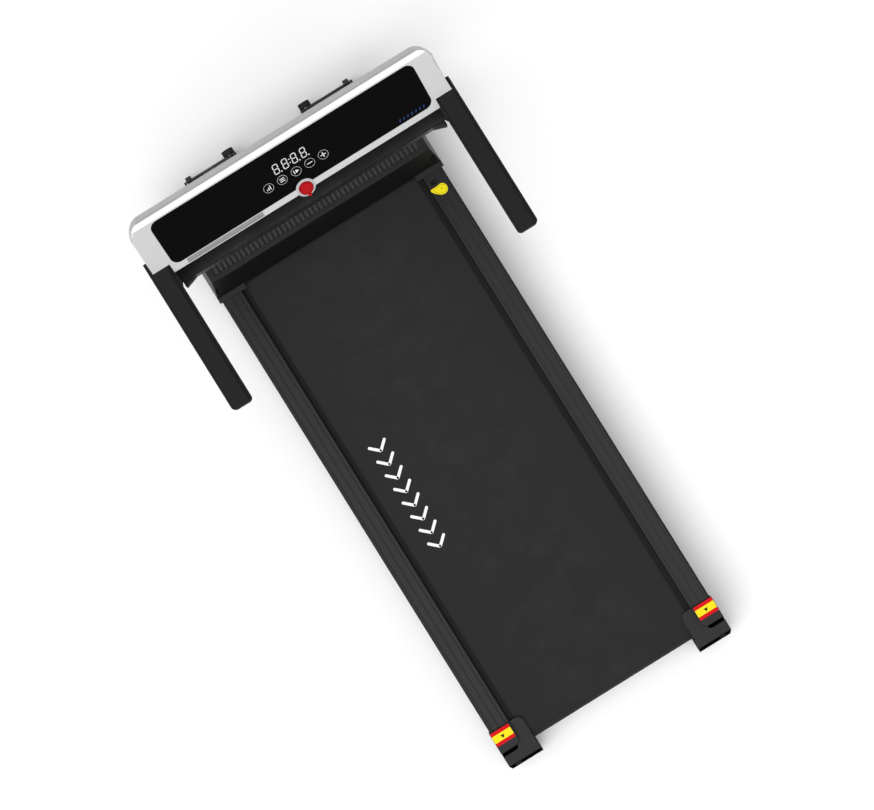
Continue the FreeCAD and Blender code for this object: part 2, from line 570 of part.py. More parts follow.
def belly_pan():
    """Sheet under the motor; its front end is an arc about the pivot, so that it clears the base."""
    half = BEAM_OUTER + 2.0
    front_z = HOOD_PARTING_Z - SEAT_GAP
    drum = rod("x", SWING_R, -half, half, PIVOT_Y, PIVOT_Z)
    drum = drum.cut(rod("x", SWING_R - PAN_THICK, -half, half, PIVOT_Y, PIVOT_Z))
    drum = drum.common(block((-half, half), (PIVOT_Y, HOOD_FRONT_Y), (0, front_z)))
    floor_z = (BEAM_BOTTOM - PAN_THICK, BEAM_BOTTOM)
    pan = drum.fuse(block((-half, half), (HOOD_REAR_Y + 6.0, PIVOT_Y), floor_z))
    strut_way = block(grown((0.0, 0.0), STRUT_R + 6.0), (HOOD_REAR_Y, HOOD_FRONT_Y + 1.0), (0, front_z - 4.5))
    return pan.cut(strut_way).removeSplitter()


save("belly_pan", belly_pan())

inlet_mid_x, inlet_mid_z = sum(INLET_X) / 2, sum(INLET_Z) / 2


inlet_floor_y = HOOD_FRONT_Y - INLET_DEEP + 4.0
inlet = block(INLET_X, (HOOD_FRONT_Y - INLET_DEEP, HOOD_FRONT_Y), INLET_Z)
inlet = inlet.fuse(block(grown(INLET_X, 3.0), (HOOD_FRONT_Y, HOOD_FRONT_Y + 1.5), grown(INLET_Z, 3.0)))
inlet = inlet.cut(block(grown(INLET_X, -3.0), (inlet_floor_y, HOOD_FRONT_Y + 2), grown(INLET_Z, -3.0)))
for dx, dz in ((-7.0, -2.0), (7.0, -2.0), (0.0, 2.5)):
    pin_x, pin_z = inlet_mid_x + dx, inlet_mid_z + dz
    pin_span = ((pin_x - 1, pin_x + 1), (inlet_floor_y, inlet_floor_y + 10), (pin_z - 2, pin_z + 2))
    inlet = inlet.fuse(block(*pin_span))
save("power_inlet", inlet)

switch_x, switch_z = SWITCH
rocker_outline = [
    (HOOD_FRONT_Y - 9.0, switch_z - SWITCH_HALF[1], 3.0),
    (HOOD_FRONT_Y + 2.0, switch_z - SWITCH_HALF[1], 1.0),
    (HOOD_FRONT_Y + 0.6, switch_z, 12.0),
    (HOOD_FRONT_Y + 2.0, switch_z + SWITCH_HALF[1], 1.0),
    (HOOD_FRONT_Y - 9.0, switch_z + SWITCH_HALF[1], 3.0),
]
hollow_x = grown((switch_x, switch_x), SWITCH_WAY[0])
hollow_z = grown((switch_z, switch_z), SWITCH_WAY[1])
body_x, body_z = grown(hollow_x, 2.5), grown(hollow_z, 2.5)
switch_pivot = (HOOD_FRONT_Y - 5.0, switch_z)
rocker = prism(rocker_outline, "x", *grown((switch_x, switch_x), SWITCH_HALF[0]))
save("power_switch", rocker.cut(rod("x", SWITCH_PIN_R + RUN_GAP, *body_x, *switch_pivot)))
switch_body = block(body_x, (HOOD_FRONT_Y - 26.0, HOOD_FRONT_Y - HOOD_WALL), body_z)
switch_body = switch_body.cut(block(hollow_x, (HOOD_FRONT_Y - 14.0, HOOD_FRONT_Y), hollow_z))
save("switch_housing", switch_body.fuse(rod("x", SWITCH_PIN_R, *body_x, *switch_pivot)))
save("reset_button", rod("y", RESET_R, HOOD_FRONT_Y - 12.0, HOOD_FRONT_Y + 1.8, *RESET))


# --- rear caps and feet -------------------------------------------------------------------------
def rear_cap():
    """Right-hand end cap: top plate over the belt's edge, raised block, step groove, sloped rear."""
    side = [
        (CAP_FRONT_Y, CAP_BOTTOM),
        (CAP_FRONT_Y, CAP_PLATE_Z),
        (CAP_TOP_REAR_Y, CAP_PLATE_Z, 4.0),
        (DECK_REAR_Y, CAP_BOTTOM),
    ]
    plan = rectangle((CAP_INNER, CAP_OUTER), (DECK_REAR_Y, CAP_FRONT_Y))
    plan[3] = (CAP_INNER, CAP_FRONT_Y, CAP_ROUND)
    cap = prism(side, "x", CAP_INNER, CAP_OUTER).common(prism(plan, "z", 0, CAP_BLOCK_TOP))
    block_plan = rectangle((CAP_BLOCK_INNER, CAP_OUTER), (CAP_BLOCK_REAR_Y, CAP_FRONT_Y), 1.5)
    block_plan[0] = (CAP_BLOCK_INNER, CAP_BLOCK_REAR_Y, CAP_ROUND)
    raised = prism(block_plan, "z", CAP_PLATE_Z - 2, CAP_BLOCK_TOP)
    top_edges = [e for e in raised.Edges if e.BoundBox.ZMin > CAP_BLOCK_TOP - 0.01]
    raised = raised.makeFillet(2.0, top_edges)
    step_z = (CAP_PLATE_Z - CAP_STEP_DEEP, CAP_PLATE_Z + 1)
    step_x = (CAP_BLOCK_INNER + CAP_STEP, CAP_OUTER + 1)
    step_y = (CAP_BLOCK_REAR_Y - CAP_STEP, CAP_BLOCK_REAR_Y + CAP_ROUND)
    step_plan = rectangle(step_x, step_y)
    step_plan[0] = (step_x[0], step_y[0], CAP_STEP)
    step = prism(step_plan, "z", *step_z)
    foot_of_block = prism(block_plan, "z", CAP_PLATE_Z - CAP_PLATE_THICK, CAP_PLATE_Z)
    cap = cap.cut(step).multiFuse([foot_of_block, raised])
    under = CAP_PLATE_Z - CAP_PLATE_THICK
    belt_edge = BELT_HALF + 4.0
    belt_way = block((CAP_INNER - 1, belt_edge), (REAR_ROLLER_Y - ROLLER_R - 6, CAP_FRONT_Y + 1), (0, under))
    cavity = block((belt_edge - 1, CAP_OUTER - CAP_WALL), (CAP_INSIDE_Y, CAP_FRONT_Y + 1), (0, under))
    cap = cap.cut(belt_way).cut(cavity)
    cap = cap.cut(rod("y", 3.7, DECK_REAR_Y - 1, CAP_INSIDE_Y + 1, BOLT_X, AXLE_Z))
    cap = cap.cut(rod("y", 8.0, DECK_REAR_Y - 1, CAP_TOP_REAR_Y - 2.0, BOLT_X, AXLE_Z))
    return cap.removeSplitter()


cap_right = rear_cap()
save("rear_cap_left", mirrored(cap_right))
save("rear_cap_right", cap_right)

bolt_head_y = CAP_TOP_REAR_Y - 2.0
tension_bolt = rod("y", 3.5, bolt_head_y, REAR_ROLLER_Y - AXLE_R, BOLT_X, AXLE_Z)
tension_bolt = tension_bolt.fuse(hexagon("y", 12.0, bolt_head_y - 5.0, bolt_head_y, BOLT_X, AXLE_Z))
save("tension_bolts", *pair(tension_bolt))

foot_x, foot_y = REAR_FOOT
foot = Part.makeCone(REAR_FOOT_R, REAR_FOOT_R - 3.0, REAR_FOOT_TALL, V(foot_x, foot_y, 0))
foot = foot.cut(rod("z", STUD_R, REAR_FOOT_TALL - 12.0, REAR_FOOT_TALL, foot_x, foot_y))
save("rear_feet", *pair(foot))
stud = rod("z", STUD_R, REAR_FOOT_TALL - 12.0, BEAM_BOTTOM + BEAM_WALL, foot_x, foot_y)
stud = stud.fuse(hexagon("z", 17.0, BEAM_BOTTOM - 7.0, BEAM_BOTTOM, foot_x, foot_y))
save("rear_foot_studs", *pair(stud))

# --- base frame ---------------------------------------------------------------------------------
tube_z = (BASE_TUBE_BOTTOM, BASE_TUBE_TOP)
front_tube_half = UPRIGHT_X[1] + 3.0
save("front_cross_tube", tube("x", FRONT_TUBE_Y, tube_z, -front_tube_half, front_tube_half, TUBE_WALL, 4.0))
floor_tube = tube("y", FLOOR_TUBE_X, tube_z, FLOOR_TUBE_REAR_Y, FRONT_TUBE_Y[0], TUBE_WALL, 4.0)
save("floor_tubes", *pair(floor_tube))
rear_tube_y = (FLOOR_TUBE_REAR_Y, FLOOR_TUBE_REAR_Y + REAR_TUBE_DEEP)
rear_tube_z = (BASE_TUBE_BOTTOM, BASE_TUBE_TOP - 8.0)
rear_tube_half = FLOOR_TUBE_X[0]
save("rear_cross_tube", tube("x", rear_tube_y, rear_tube_z, -rear_tube_half, rear_tube_half, TUBE_WALL, 4.0))

pads = []
pad_x = sum(FLOOR_TUBE_X) / 2
for x, y in ((pad_x, FLOOR_TUBE_REAR_Y + 25.0), (front_tube_half - 25.0, sum(FRONT_TUBE_Y) / 2)):
    pads += pair(rod("z", 17.0, 0.0, BASE_TUBE_BOTTOM, x, y))
save("floor_pads", *pads)


def upright():
    """Right-hand upright, leaning back towards the user."""
    def side(lo, hi, rear, front):
        return [
            (FRONT_TUBE_Y[0] - TAN_LEAN * (lo - BASE_TUBE_TOP) + rear, lo),
            (FRONT_TUBE_Y[0] - TAN_LEAN * (lo - BASE_TUBE_TOP) + front, lo),
            (FRONT_TUBE_Y[0] - TAN_LEAN * (hi - BASE_TUBE_TOP) + front, hi),
            (FRONT_TUBE_Y[0] - TAN_LEAN * (hi - BASE_TUBE_TOP) + rear, hi),
        ]
    outer = prism(side(BASE_TUBE_TOP, UPRIGHT_TOP, 0.0, UPRIGHT_DEEP), "x", *UPRIGHT_X)
    long_edges = [e for e in outer.Edges if e.Length > 0.9 * (UPRIGHT_TOP - BASE_TUBE_TOP)]
    outer = outer.makeFillet(5.0, long_edges)
    slope_wall = TUBE_WALL * hypot(1.0, TAN_LEAN)
    hollow = prism(side(0.0, UPRIGHT_TOP + 50, slope_wall, UPRIGHT_DEEP - slope_wall), "x",
                   UPRIGHT_X[0] + TUBE_WALL, UPRIGHT_X[1] - TUBE_WALL)
    post = outer.cut(hollow)
    return post.cut(rod("x", PIVOT_BOLT_R, UPRIGHT_X[0] - 1, UPRIGHT_X[1] + 1, PIVOT_Y, PIVOT_Z))


upright_right = upright()
save("upright_left", mirrored(upright_right))
save("upright_right", upright_right)
bolt = rod("x", PIVOT_BOLT_R, BEAM_OUTER - PIVOT_ARM_THICK - 4.0, UPRIGHT_X[1], PIVOT_Y, PIVOT_Z)
bolt = bolt.fuse(hexagon("x", 24.0, UPRIGHT_X[1], UPRIGHT_X[1] + 5.0, PIVOT_Y, PIVOT_Z))
save("pivot_bolts", *pair(bolt))

# --- front wheel brackets, wheels and feet ------------------------------------------------------
def front_bracket():
    """Right-hand sheet bracket: front web with a wheel window, and flanges back to the cross tube."""
    back_y, web_y = FRONT_TUBE_Y[1], BRACKET_FRONT_Y - SHEET
    bracket = block(BRACKET_X, (web_y, BRACKET_FRONT_Y), BRACKET_Z)
    cheek_x = WHEEL_X - WHEEL_WIDE / 2 - 1.5 - SHEET
    for x in (BRACKET_X[0], cheek_x, BRACKET_X[1] - SHEET):
        bracket = bracket.fuse(block((x, x + SHEET), (back_y, BRACKET_FRONT_Y), BRACKET_Z))
    window_x = (cheek_x + SHEET, BRACKET_X[1] - SHEET)
    bracket = bracket.cut(block(window_x, (web_y - 1, BRACKET_FRONT_Y + 1), (0, WHEEL_Z + WHEEL_R + 4.0)))
    bracket = bracket.cut(rod("x", WHEEL_AXLE_R, cheek_x - 1, BRACKET_X[1] + 1, WHEEL_Y, WHEEL_Z))
    return bracket.cut(rod("y", STUD_R, web_y - 1, BRACKET_FRONT_Y + 1, FRONT_FOOT_X, FRONT_FOOT_Z))


save("front_brackets", *pair(front_bracket()))
axle_x = (WHEEL_X - WHEEL_WIDE / 2 - 1.5 - SHEET - 2.0, BRACKET_X[1] + 2.0)
save("wheel_axles", *pair(rod("x", WHEEL_AXLE_R, *axle_x, WHEEL_Y, WHEEL_Z)))

wheel_span = (WHEEL_X - WHEEL_WIDE / 2, WHEEL_X + WHEEL_WIDE / 2)
wheel = rod("x", WHEEL_R, *wheel_span, WHEEL_Y, WHEEL_Z)
wheel = wheel.makeFillet(2.0, [e for e in wheel.Edges if e.Closed and e.Length > 1.9 * pi * WHEEL_R])
wheel = wheel.cut(rod("x", WHEEL_AXLE_R + RUN_GAP, *wheel_span, WHEEL_Y, WHEEL_Z))
for lo in (wheel_span[0], wheel_span[1] - 2.5):
    wheel = wheel.cut(ring("x", WHEEL_R - 8.0, WHEEL_AXLE_R + 4.0, lo, lo + 2.5, WHEEL_Y, WHEEL_Z))
save("transport_wheel_left", mirrored(wheel))
save("transport_wheel_right", wheel)

foot_back_y = FRONT_Y - FRONT_FOOT_LONG
foot_centre = V(FRONT_FOOT_X, foot_back_y, FRONT_FOOT_Z)
front_foot = Part.makeCone(FRONT_FOOT_R, FRONT_FOOT_R - 1.5, FRONT_FOOT_LONG, foot_centre, V(0, 1, 0))
save("storage_feet", *pair(front_foot))
foot_stud = rod("y", STUD_R, BRACKET_FRONT_Y - SHEET - 8.0, foot_back_y, FRONT_FOOT_X, FRONT_FOOT_Z)
save("storage_foot_studs", *pair(foot_stud))

# --- gas strut ----------------------------------------------------------------------------------
lug_gap = STRUT_EYE_HALF + 1.0
lug_side = [
    (FRONT_TUBE_Y[0], BASE_TUBE_BOTTOM + 4.0),
    (FRONT_TUBE_Y[0], BASE_TUBE_TOP + 8.0, 4.0),
    (STRUT_BASE_Y, STRUT_Z + 10.0, 8.0),
    (STRUT_BASE_Y - 11.0, STRUT_Z + 4.0, 6.0),
    (STRUT_BASE_Y - 9.0, STRUT_Z - 8.0, 6.0),
]
lug_cheek = prism(lug_side, "x", lug_gap, lug_gap + 4.0)
lug_pin = rod("x", STRUT_PIN_R, -lug_gap - 6.0, lug_gap + 6.0, STRUT_BASE_Y, STRUT_Z)
save("strut_lug", mirrored(lug_cheek).multiFuse([lug_cheek, lug_pin]))

cylinder_y = (STRUT_DECK_Y + 22.0, STRUT_BASE_Y - 16.0)
gland_y = (cylinder_y[0] - 1.0, cylinder_y[0] + 13.0)
cylinder = rod("y", STRUT_R, *cylinder_y, 0.0, STRUT_Z)
base_eye = rod("x", STRUT_EYE_R, -STRUT_EYE_HALF, STRUT_EYE_HALF, STRUT_BASE_Y, STRUT_Z)
neck = rod("y", 5.0, cylinder_y[1] - 2.0, STRUT_BASE_Y, 0.0, STRUT_Z)
cylinder = cylinder.multiFuse([base_eye, neck])
cylinder = cylinder.cut(rod("x", STRUT_PIN_R + RUN_GAP, -20, 20, STRUT_BASE_Y, STRUT_Z))
cylinder = cylinder.cut(rod("y", STRUT_BORE_R, cylinder_y[0] + 12.0, cylinder_y[1] - 8.0, 0.0, STRUT_Z))
cylinder = cylinder.cut(rod("y", STRUT_ROD_R + RUN_GAP, *gland_y, 0.0, STRUT_Z))
save("strut_cylinder", cylinder)

piston_y = (cylinder_y[1] - 26.0, cylinder_y[1] - 12.0)
strut_rod = rod("y", STRUT_ROD_R, STRUT_DECK_Y, piston_y[1], 0.0, STRUT_Z)
piston = rod("y", STRUT_BORE_R - RUN_GAP, *piston_y, 0.0, STRUT_Z)
deck_eye = rod("x", STRUT_EYE_R, -STRUT_EYE_HALF, STRUT_EYE_HALF, STRUT_DECK_Y, STRUT_Z)
save("strut_rod", strut_rod.multiFuse([piston, deck_eye]).removeSplitter())

cheek_outline = [
    (STRUT_DECK_Y - 18.0, BEAM_BOTTOM),
    (STRUT_DECK_Y - 10.0, STRUT_Z - 11.0, 8.0),
    (STRUT_DECK_Y + 10.0, STRUT_Z - 11.0, 8.0),
    (STRUT_DECK_Y + 18.0, BEAM_BOTTOM),
]
bracket_cheek = prism(cheek_outline, "x", lug_gap, lug_gap + 3.0)
bracket_cheek = bracket_cheek.cut(rod("x", STRUT_PIN_R, 0, 30, STRUT_DECK_Y, STRUT_Z))
save("strut_bracket", *pair(bracket_cheek))

# --- handlebars and the tube between the uprights -----------------------------------------------
bar_section = rectangle(BAR_X, BAR_Z, BAR_ROUND)
bar_plan = [
    (BAR_X[0], BAR_Y[0], BAR_ROUND), (BAR_X[1], BAR_Y[0], BAR_ROUND),
    (BAR_X[1], BAR_Y[1]), (BAR_X[0], BAR_Y[1]),
]
whole_bar = prism(bar_section, "y", *BAR_Y).common(prism(bar_plan, "z", BAR_Z[0] - 1, BAR_Z[1] + 1))
plug_end_y = BAR_Y[0] + BAR_PLUG
bar_inner = prism(bar_section, "y", plug_end_y, BAR_Y[1] + 1, BAR_WALL)
bar = whole_bar.cut(block((0, 400), (0, plug_end_y), (900, 1100))).cut(bar_inner)
save("handlebar_left", mirrored(bar))
save("handlebar_right", bar)
plug_cap = whole_bar.common(block((0, 400), (0, plug_end_y), (900, 1100)))
spigot = prism(bar_section, "y", plug_end_y, plug_end_y + 16.0, BAR_WALL)
save("handlebar_plugs", *pair(plug_cap.fuse(spigot)))

tie_half = UPRIGHT_X[0]
save("console_cross_tube", tube("x", TIE_Y, TIE_Z, -tie_half, tie_half, TUBE_WALL, 5.0))
gusset_plan = [(tie_half, TIE_Y[0]), (tie_half - GUSSET_LONG, TIE_Y[0]), (tie_half, TIE_Y[0] - GUSSET_DEEP)]
save("cross_tube_gussets", *pair(prism(gusset_plan, "z", TIE_Z[0] + 5.0, TIE_Z[1] - 5.0)))

# --- console ------------------------------------------------------------------------------------
CONSOLE_SIDE = [
    (LIP_Y, LIP_Z, 3.0),
    (RIDGE_Y, RIDGE_Z, RIDGE_ROUND),
    (RIDGE_Y + CONSOLE_BACK_DEEP, RIDGE_Z - CONSOLE_BACK_FALL, 9.0),
    (RIDGE_Y + 4.0, BAR_Z[0] + 10.0, 14.0),
    (LIP_Y + 12.0, BAR_Z[0] + 4.0, 5.0),
]
CONSOLE_FRONT_Y = RIDGE_Y + CONSOLE_BACK_DEEP
CONSOLE_PLAN = [
    (-CONSOLE_HALF, LIP_Y - 60.0),
    (CONSOLE_HALF, LIP_Y - 60.0),
    (CONSOLE_HALF, CONSOLE_FRONT_Y, CONSOLE_CORNER),
    (-CONSOLE_HALF, CONSOLE_FRONT_Y, CONSOLE_CORNER),
]
SPLIT = ((LIP_Y - 5.0, LIP_Z - 9.0), (RIDGE_Y + 30.0, RIDGE_Z - 47.0))   # joint line of the two shells


def leaning_plan(inset):
    """The plan outline pushed up along the console's back, so that its front corners lean too."""
    wire = outline(CONSOLE_PLAN, "z")
    if inset:
        wire = wire.makeOffset2D(-inset)
    rise = V(0, -CONSOLE_BACK_DEEP, CONSOLE_BACK_FALL)
    leaning = Part.Face(wire).extrude(rise * 4.5)
    leaning.translate(V(0, CONSOLE_LEAN_GAP, RIDGE_Z - CONSOLE_BACK_FALL) - rise * 3)
    return leaning


def console_body(inset):
    side = prism(CONSOLE_SIDE, "x", -CONSOLE_HALF - 1, CONSOLE_HALF + 1, inset)
    upright = prism(CONSOLE_PLAN, "z", BAR_Z[0] - 50, RIDGE_Z + 50, inset)
    return side.common(upright).common(leaning_plan(inset))


def above_split(raise_by):
    near, far = SPLIT
    points = [
        (near[0], near[1] + raise_by), (far[0], far[1] + raise_by),
        (far[0], far[1] + 200.0), (near[0], far[1] + 200.0),
    ]
    return prism(points, "x", -CONSOLE_HALF - 2, CONSOLE_HALF + 2)


def panel_outline(grow):
    half = PANEL_HALF + grow
    span = (PANEL_S[0] - grow, PANEL_S[1] + grow)
    return rectangle((-half, half), span, PANEL_CORNER + grow)


def bar_way():
    way_x = (BAR_X[0] - SEAT_GAP, BAR_X[1] + 5)
    way = block(way_x, (LIP_Y - 50, BAR_Y[1] + SEAT_GAP), (BAR_Z[0] - 30, BAR_Z[1] + SEAT_GAP))
    return Part.makeCompound(pair(way))


def console_housing():
    shell = console_body(0.0).cut(console_body(CONSOLE_WALL)).common(above_split(0.0))
    ledge = block(grown((-PANEL_HALF, PANEL_HALF), 4.0), grown(PANEL_S, 3.0), (-6.0, -CONSOLE_WALL))
    phone_pad = block(grown(PHONE_X, 3.0), grown(PHONE_S, 2.0), (-PHONE_DEEP - 3.0, -1.0))
    boss = rod("z", KEY_BOSS_R, -14.0, 0.6, 0.0, KEY_S)
    shell = shell.multiFuse([on_face(p) for p in (ledge, phone_pad, boss)])
    seat = prism(panel_outline(SEAT_GAP), "z", -PANEL_THICK, 5.0)
    seat = seat.cut(rod("z", KEY_BOSS_R, -20.0, 20.0, 0.0, KEY_S))
    phone = prism(rectangle(PHONE_X, PHONE_S, 2.0), "z", -PHONE_DEEP, 5.0)
    ring_seat = rod("z", KEY_RING_R, -KEY_DEEP, 5.0, 0.0, KEY_S)
    for cutter in (seat, phone, ring_seat):
        shell = shell.cut(on_face(cutter))
    return shell.cut(bar_way()).removeSplitter()


def console_back():
    shell = console_body(0.0).cut(console_body(CONSOLE_WALL)).cut(above_split(-SEAT_GAP))
    boss_way = on_face(rod("z", KEY_BOSS_R + SEAT_GAP, -20.0, 1.0, 0.0, KEY_S))
    return shell.cut(bar_way()).cut(boss_way)


save("console_housing", console_housing())
save("console_back", console_back())
boss_notch = rod("z", KEY_BOSS_R + SEAT_GAP, -20.0, 20.0, 0.0, KEY_S)
glass = prism(panel_outline(0.0), "z", -PANEL_THICK, 0.0).cut(boss_notch)
save("console_panel", on_face(glass))
board_outline = rectangle((-150.0, 150.0), (PANEL_S[0] + 18.0, PANEL_S[1] - 15.0), 3.0)
save("display_board", on_face(prism(board_outline, "z", -8.0, -6.0)))

key_hole_r = KEY_R + MOVE_GAP
save("key_socket", on_face(ring("z", KEY_RING_R, key_hole_r, -KEY_DEEP, 1.5, 0.0, KEY_S)))
key = rod("z", KEY_R, -KEY_DEEP + SEAT_GAP, 4.5, 0.0, KEY_S)
key = key.makeFillet(1.2, [e for e in key.Edges if e.Closed and e.BoundBox.ZMin > 4.4])
eyelet_end = KEY_S - KEY_R - 6.5
eyelet_plan = rectangle((-3.5, 3.5), (eyelet_end, KEY_S - KEY_R + 3.0))
eyelet_plan[0], eyelet_plan[1] = (-3.5, eyelet_end, 3.0), (3.5, eyelet_end, 3.0)
eyelet = prism(eyelet_plan, "z", 1.9, 3.1)
eyelet = eyelet.cut(rod("z", 1.5, 1.0, 5.0, 0.0, eyelet_end + 3.2))
save("safety_key", on_face(key.fuse(eyelet).removeSplitter()))
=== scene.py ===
# %% [markdown]
# # A folding treadmill, seen from above
#
# The working model of this treadmill already exists: fifty-nine engineered pieces, each one in its
# true place and able to move. This lesson dresses that model. Every plastic shell gets the soft
# edges that a mould gives it, every surface gets a finish with its own grain, and the printed
# marks, the lit display and the small fittings are modelled on top.
#
# We load the frame first.

# %% Load the frame
import json
import math

import bpy
from mathutils import Matrix, Vector

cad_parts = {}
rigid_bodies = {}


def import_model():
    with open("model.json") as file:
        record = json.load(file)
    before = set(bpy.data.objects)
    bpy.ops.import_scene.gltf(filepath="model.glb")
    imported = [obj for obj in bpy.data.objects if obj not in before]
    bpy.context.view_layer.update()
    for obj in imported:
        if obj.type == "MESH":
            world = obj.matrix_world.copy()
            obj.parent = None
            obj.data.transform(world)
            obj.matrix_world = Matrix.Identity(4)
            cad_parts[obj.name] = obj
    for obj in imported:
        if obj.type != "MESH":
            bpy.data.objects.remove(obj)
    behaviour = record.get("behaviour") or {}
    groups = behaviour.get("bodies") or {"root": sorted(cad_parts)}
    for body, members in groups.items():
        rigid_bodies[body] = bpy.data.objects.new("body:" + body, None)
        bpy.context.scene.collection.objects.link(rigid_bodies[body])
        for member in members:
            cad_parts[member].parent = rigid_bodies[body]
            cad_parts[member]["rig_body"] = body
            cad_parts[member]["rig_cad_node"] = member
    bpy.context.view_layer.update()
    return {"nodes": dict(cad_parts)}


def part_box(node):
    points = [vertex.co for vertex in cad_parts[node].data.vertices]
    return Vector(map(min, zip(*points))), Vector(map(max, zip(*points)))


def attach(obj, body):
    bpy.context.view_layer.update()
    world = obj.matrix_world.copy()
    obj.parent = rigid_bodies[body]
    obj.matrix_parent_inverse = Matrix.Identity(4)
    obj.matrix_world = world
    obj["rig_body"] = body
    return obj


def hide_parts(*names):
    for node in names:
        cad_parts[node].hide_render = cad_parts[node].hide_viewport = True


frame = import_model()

nodes = frame["nodes"]
slot_of = {name: node.data.materials[0].name for name, node in nodes.items()}
for plain in list(bpy.data.materials):
    bpy.data.materials.remove(plain)
for mesh in bpy.data.meshes:
    mesh.materials.clear()

# %% [markdown]
# ## Camera
#
# A product shot from high above, with the machine turned about thirty degrees in the frame.
# A long lens keeps the tall console from looking larger than the deck below it. We build the
# camera's rotation from two directions, forward and right, because a camera that looks
# straight down has no natural "up".

# %% Place the camera
EYE = Vector((-0.034, -0.084, 6.35))
AIM = Vector((-0.002, 0.0205, 0.150))
FRAME_RIGHT = Vector((0.849, -0.528, 0.0))


def aimed(eye, aim, right_hint):
    """A rotation that looks from eye to aim, with the picture's right side near right_hint."""
    forward = (aim - eye).normalized()
    right = (right_hint - forward * right_hint.dot(forward)).normalized()
    up = right.cross(forward)
    return Matrix((right, up, -forward)).transposed().to_4x4()


bpy.ops.object.camera_add(location=(0, 0, 0))
camera = bpy.context.active_object
camera.name = "product_camera"
camera.matrix_world = Matrix.Translation(EYE) @ aimed(EYE, AIM, FRAME_RIGHT)
camera.data.lens = 122.2
camera.data.sensor_width = 36.0
camera.data.clip_end = 60.0
bpy.context.scene.camera = camera
print("camera", camera.data.lens, "mm at", tuple(EYE))

# %% [markdown]
# ## Floor and light
#
# The machine stands on a seamless white floor. A pale sky fills every shadow, and one broad,
# soft sun from the user's left lays a faint shadow on the other side of the deck. We keep the
# display colours plain, so that a grey of 0.5 stays a grey of 0.5.

# %% Floor, sky and sun
FLOOR_SIZE = 30.0
SKY_HIGH, SKY_LOW = 0.62, 0.34
SUN_STRENGTH = 2.15
SUN_SOFTNESS = math.radians(55)
SUN_FROM = Vector((-0.28, -0.16, 1.0))

bpy.context.scene.view_settings.view_transform = "Standard"
bpy.ops.mesh.primitive_plane_add(size=FLOOR_SIZE)
floor = bpy.context.active_object
floor.name = "studio_floor"

sky = bpy.data.worlds.new("pale_sky")
bpy.context.scene.world = sky
sky.use_nodes = True
tree = sky.node_tree
direction = tree.nodes.new("ShaderNodeTexCoord").outputs["Generated"]
parts = tree.nodes.new("ShaderNodeSeparateXYZ")
climb = tree.nodes.new("ShaderNodeMapRange")
climb.inputs["To Min"].default_value = SKY_LOW
climb.inputs["To Max"].default_value = SKY_HIGH
tree.links.new(direction, parts.inputs[0])
tree.links.new(parts.outputs["Z"], climb.inputs["Value"])
tree.links.new(climb.outputs[0], tree.nodes["Background"].inputs["Strength"])
tree.nodes["Background"].inputs["Color"].default_value = (1.0, 1.0, 1.0, 1.0)

bpy.ops.object.light_add(type="SUN", location=SUN_FROM * 4)
sun = bpy.context.active_object
sun.name = "soft_sun"
sun.rotation_euler = SUN_FROM.to_track_quat("Z", "Y").to_euler()
sun.data.energy = SUN_STRENGTH
sun.data.angle = SUN_SOFTNESS
print("sun", SUN_STRENGTH, "sky", SKY_LOW, "to", SKY_HIGH)

# %% [markdown]
# ## Small helpers
#
# Operators act on whatever is selected, so each step starts from a clean selection. Mesh
# operators work in edit mode, and faces are chosen there by where they are or by which way
# they look. `placed` bakes an object's position into its mesh, so that a finished piece sits
# at the origin like every other piece of the frame.


# %% Selection and edit helpers
def only(piece):
    """Selects one object and makes it the active one."""
    bpy.ops.object.select_all(action="DESELECT")
    piece.select_set(True)
    bpy.context.view_layer.objects.active = piece


def pick(piece, kind, test):
    """Selects the faces or edges of a piece that pass a test, and counts them."""
    only(piece)
    bpy.ops.object.mode_set(mode="EDIT")
    bpy.ops.mesh.select_mode(type={"faces": "FACE", "edges": "EDGE"}[kind])
    bpy.ops.mesh.select_all(action="DESELECT")
    bpy.ops.object.mode_set(mode="OBJECT")
    mesh = piece.data
    count = 0
    for item in {"faces": mesh.polygons, "edges": mesh.edges}[kind]:
        item.select = bool(test(mesh, item))
        count += item.select
    bpy.ops.object.mode_set(mode="EDIT")
    return count


def looks_up(mesh, face):
    return face.normal.z > 0.9


def is_flat(mesh, face):
    return abs(face.normal.z) > 0.9


def is_high(mesh, edge):
    """An edge whose ends both stand more than a millimetre above the drawing plane."""
    return all(mesh.vertices[v].co.z > 0.001 for v in edge.vertices)


def inset(by):
    bpy.ops.mesh.inset(thickness=by)


def pull(x=0.0, y=0.0, z=0.0):
    """Extrudes what is picked by one step."""
    bpy.ops.mesh.extrude_region_move(TRANSFORM_OT_translate={"value": (x, y, z)})


def done():
    bpy.ops.object.mode_set(mode="OBJECT")


def modified(piece, kind, **values):
    """Adds one modifier, sets its values and applies it."""
    only(piece)
    modifier = piece.modifiers.new(kind.lower(), kind)
    for key, value in values.items():
        setattr(modifier, key, value)
    bpy.ops.object.modifier_apply(modifier=modifier.name)


def rounded_off(piece, radius, steps, angle, **values):
    """Rounds every edge that turns by more than an angle in degrees."""
    modified(piece, "BEVEL", width=radius, segments=steps, limit_method="ANGLE",
             angle_limit=math.radians(angle), **values)


def placed(piece, matrix=None):
    """Bakes the piece's own transform, and then one more, into its mesh."""
    only(piece)
    bpy.ops.object.transform_apply(location=True, rotation=True, scale=True)
    if matrix is not None:
        piece.data.transform(matrix)
    return piece


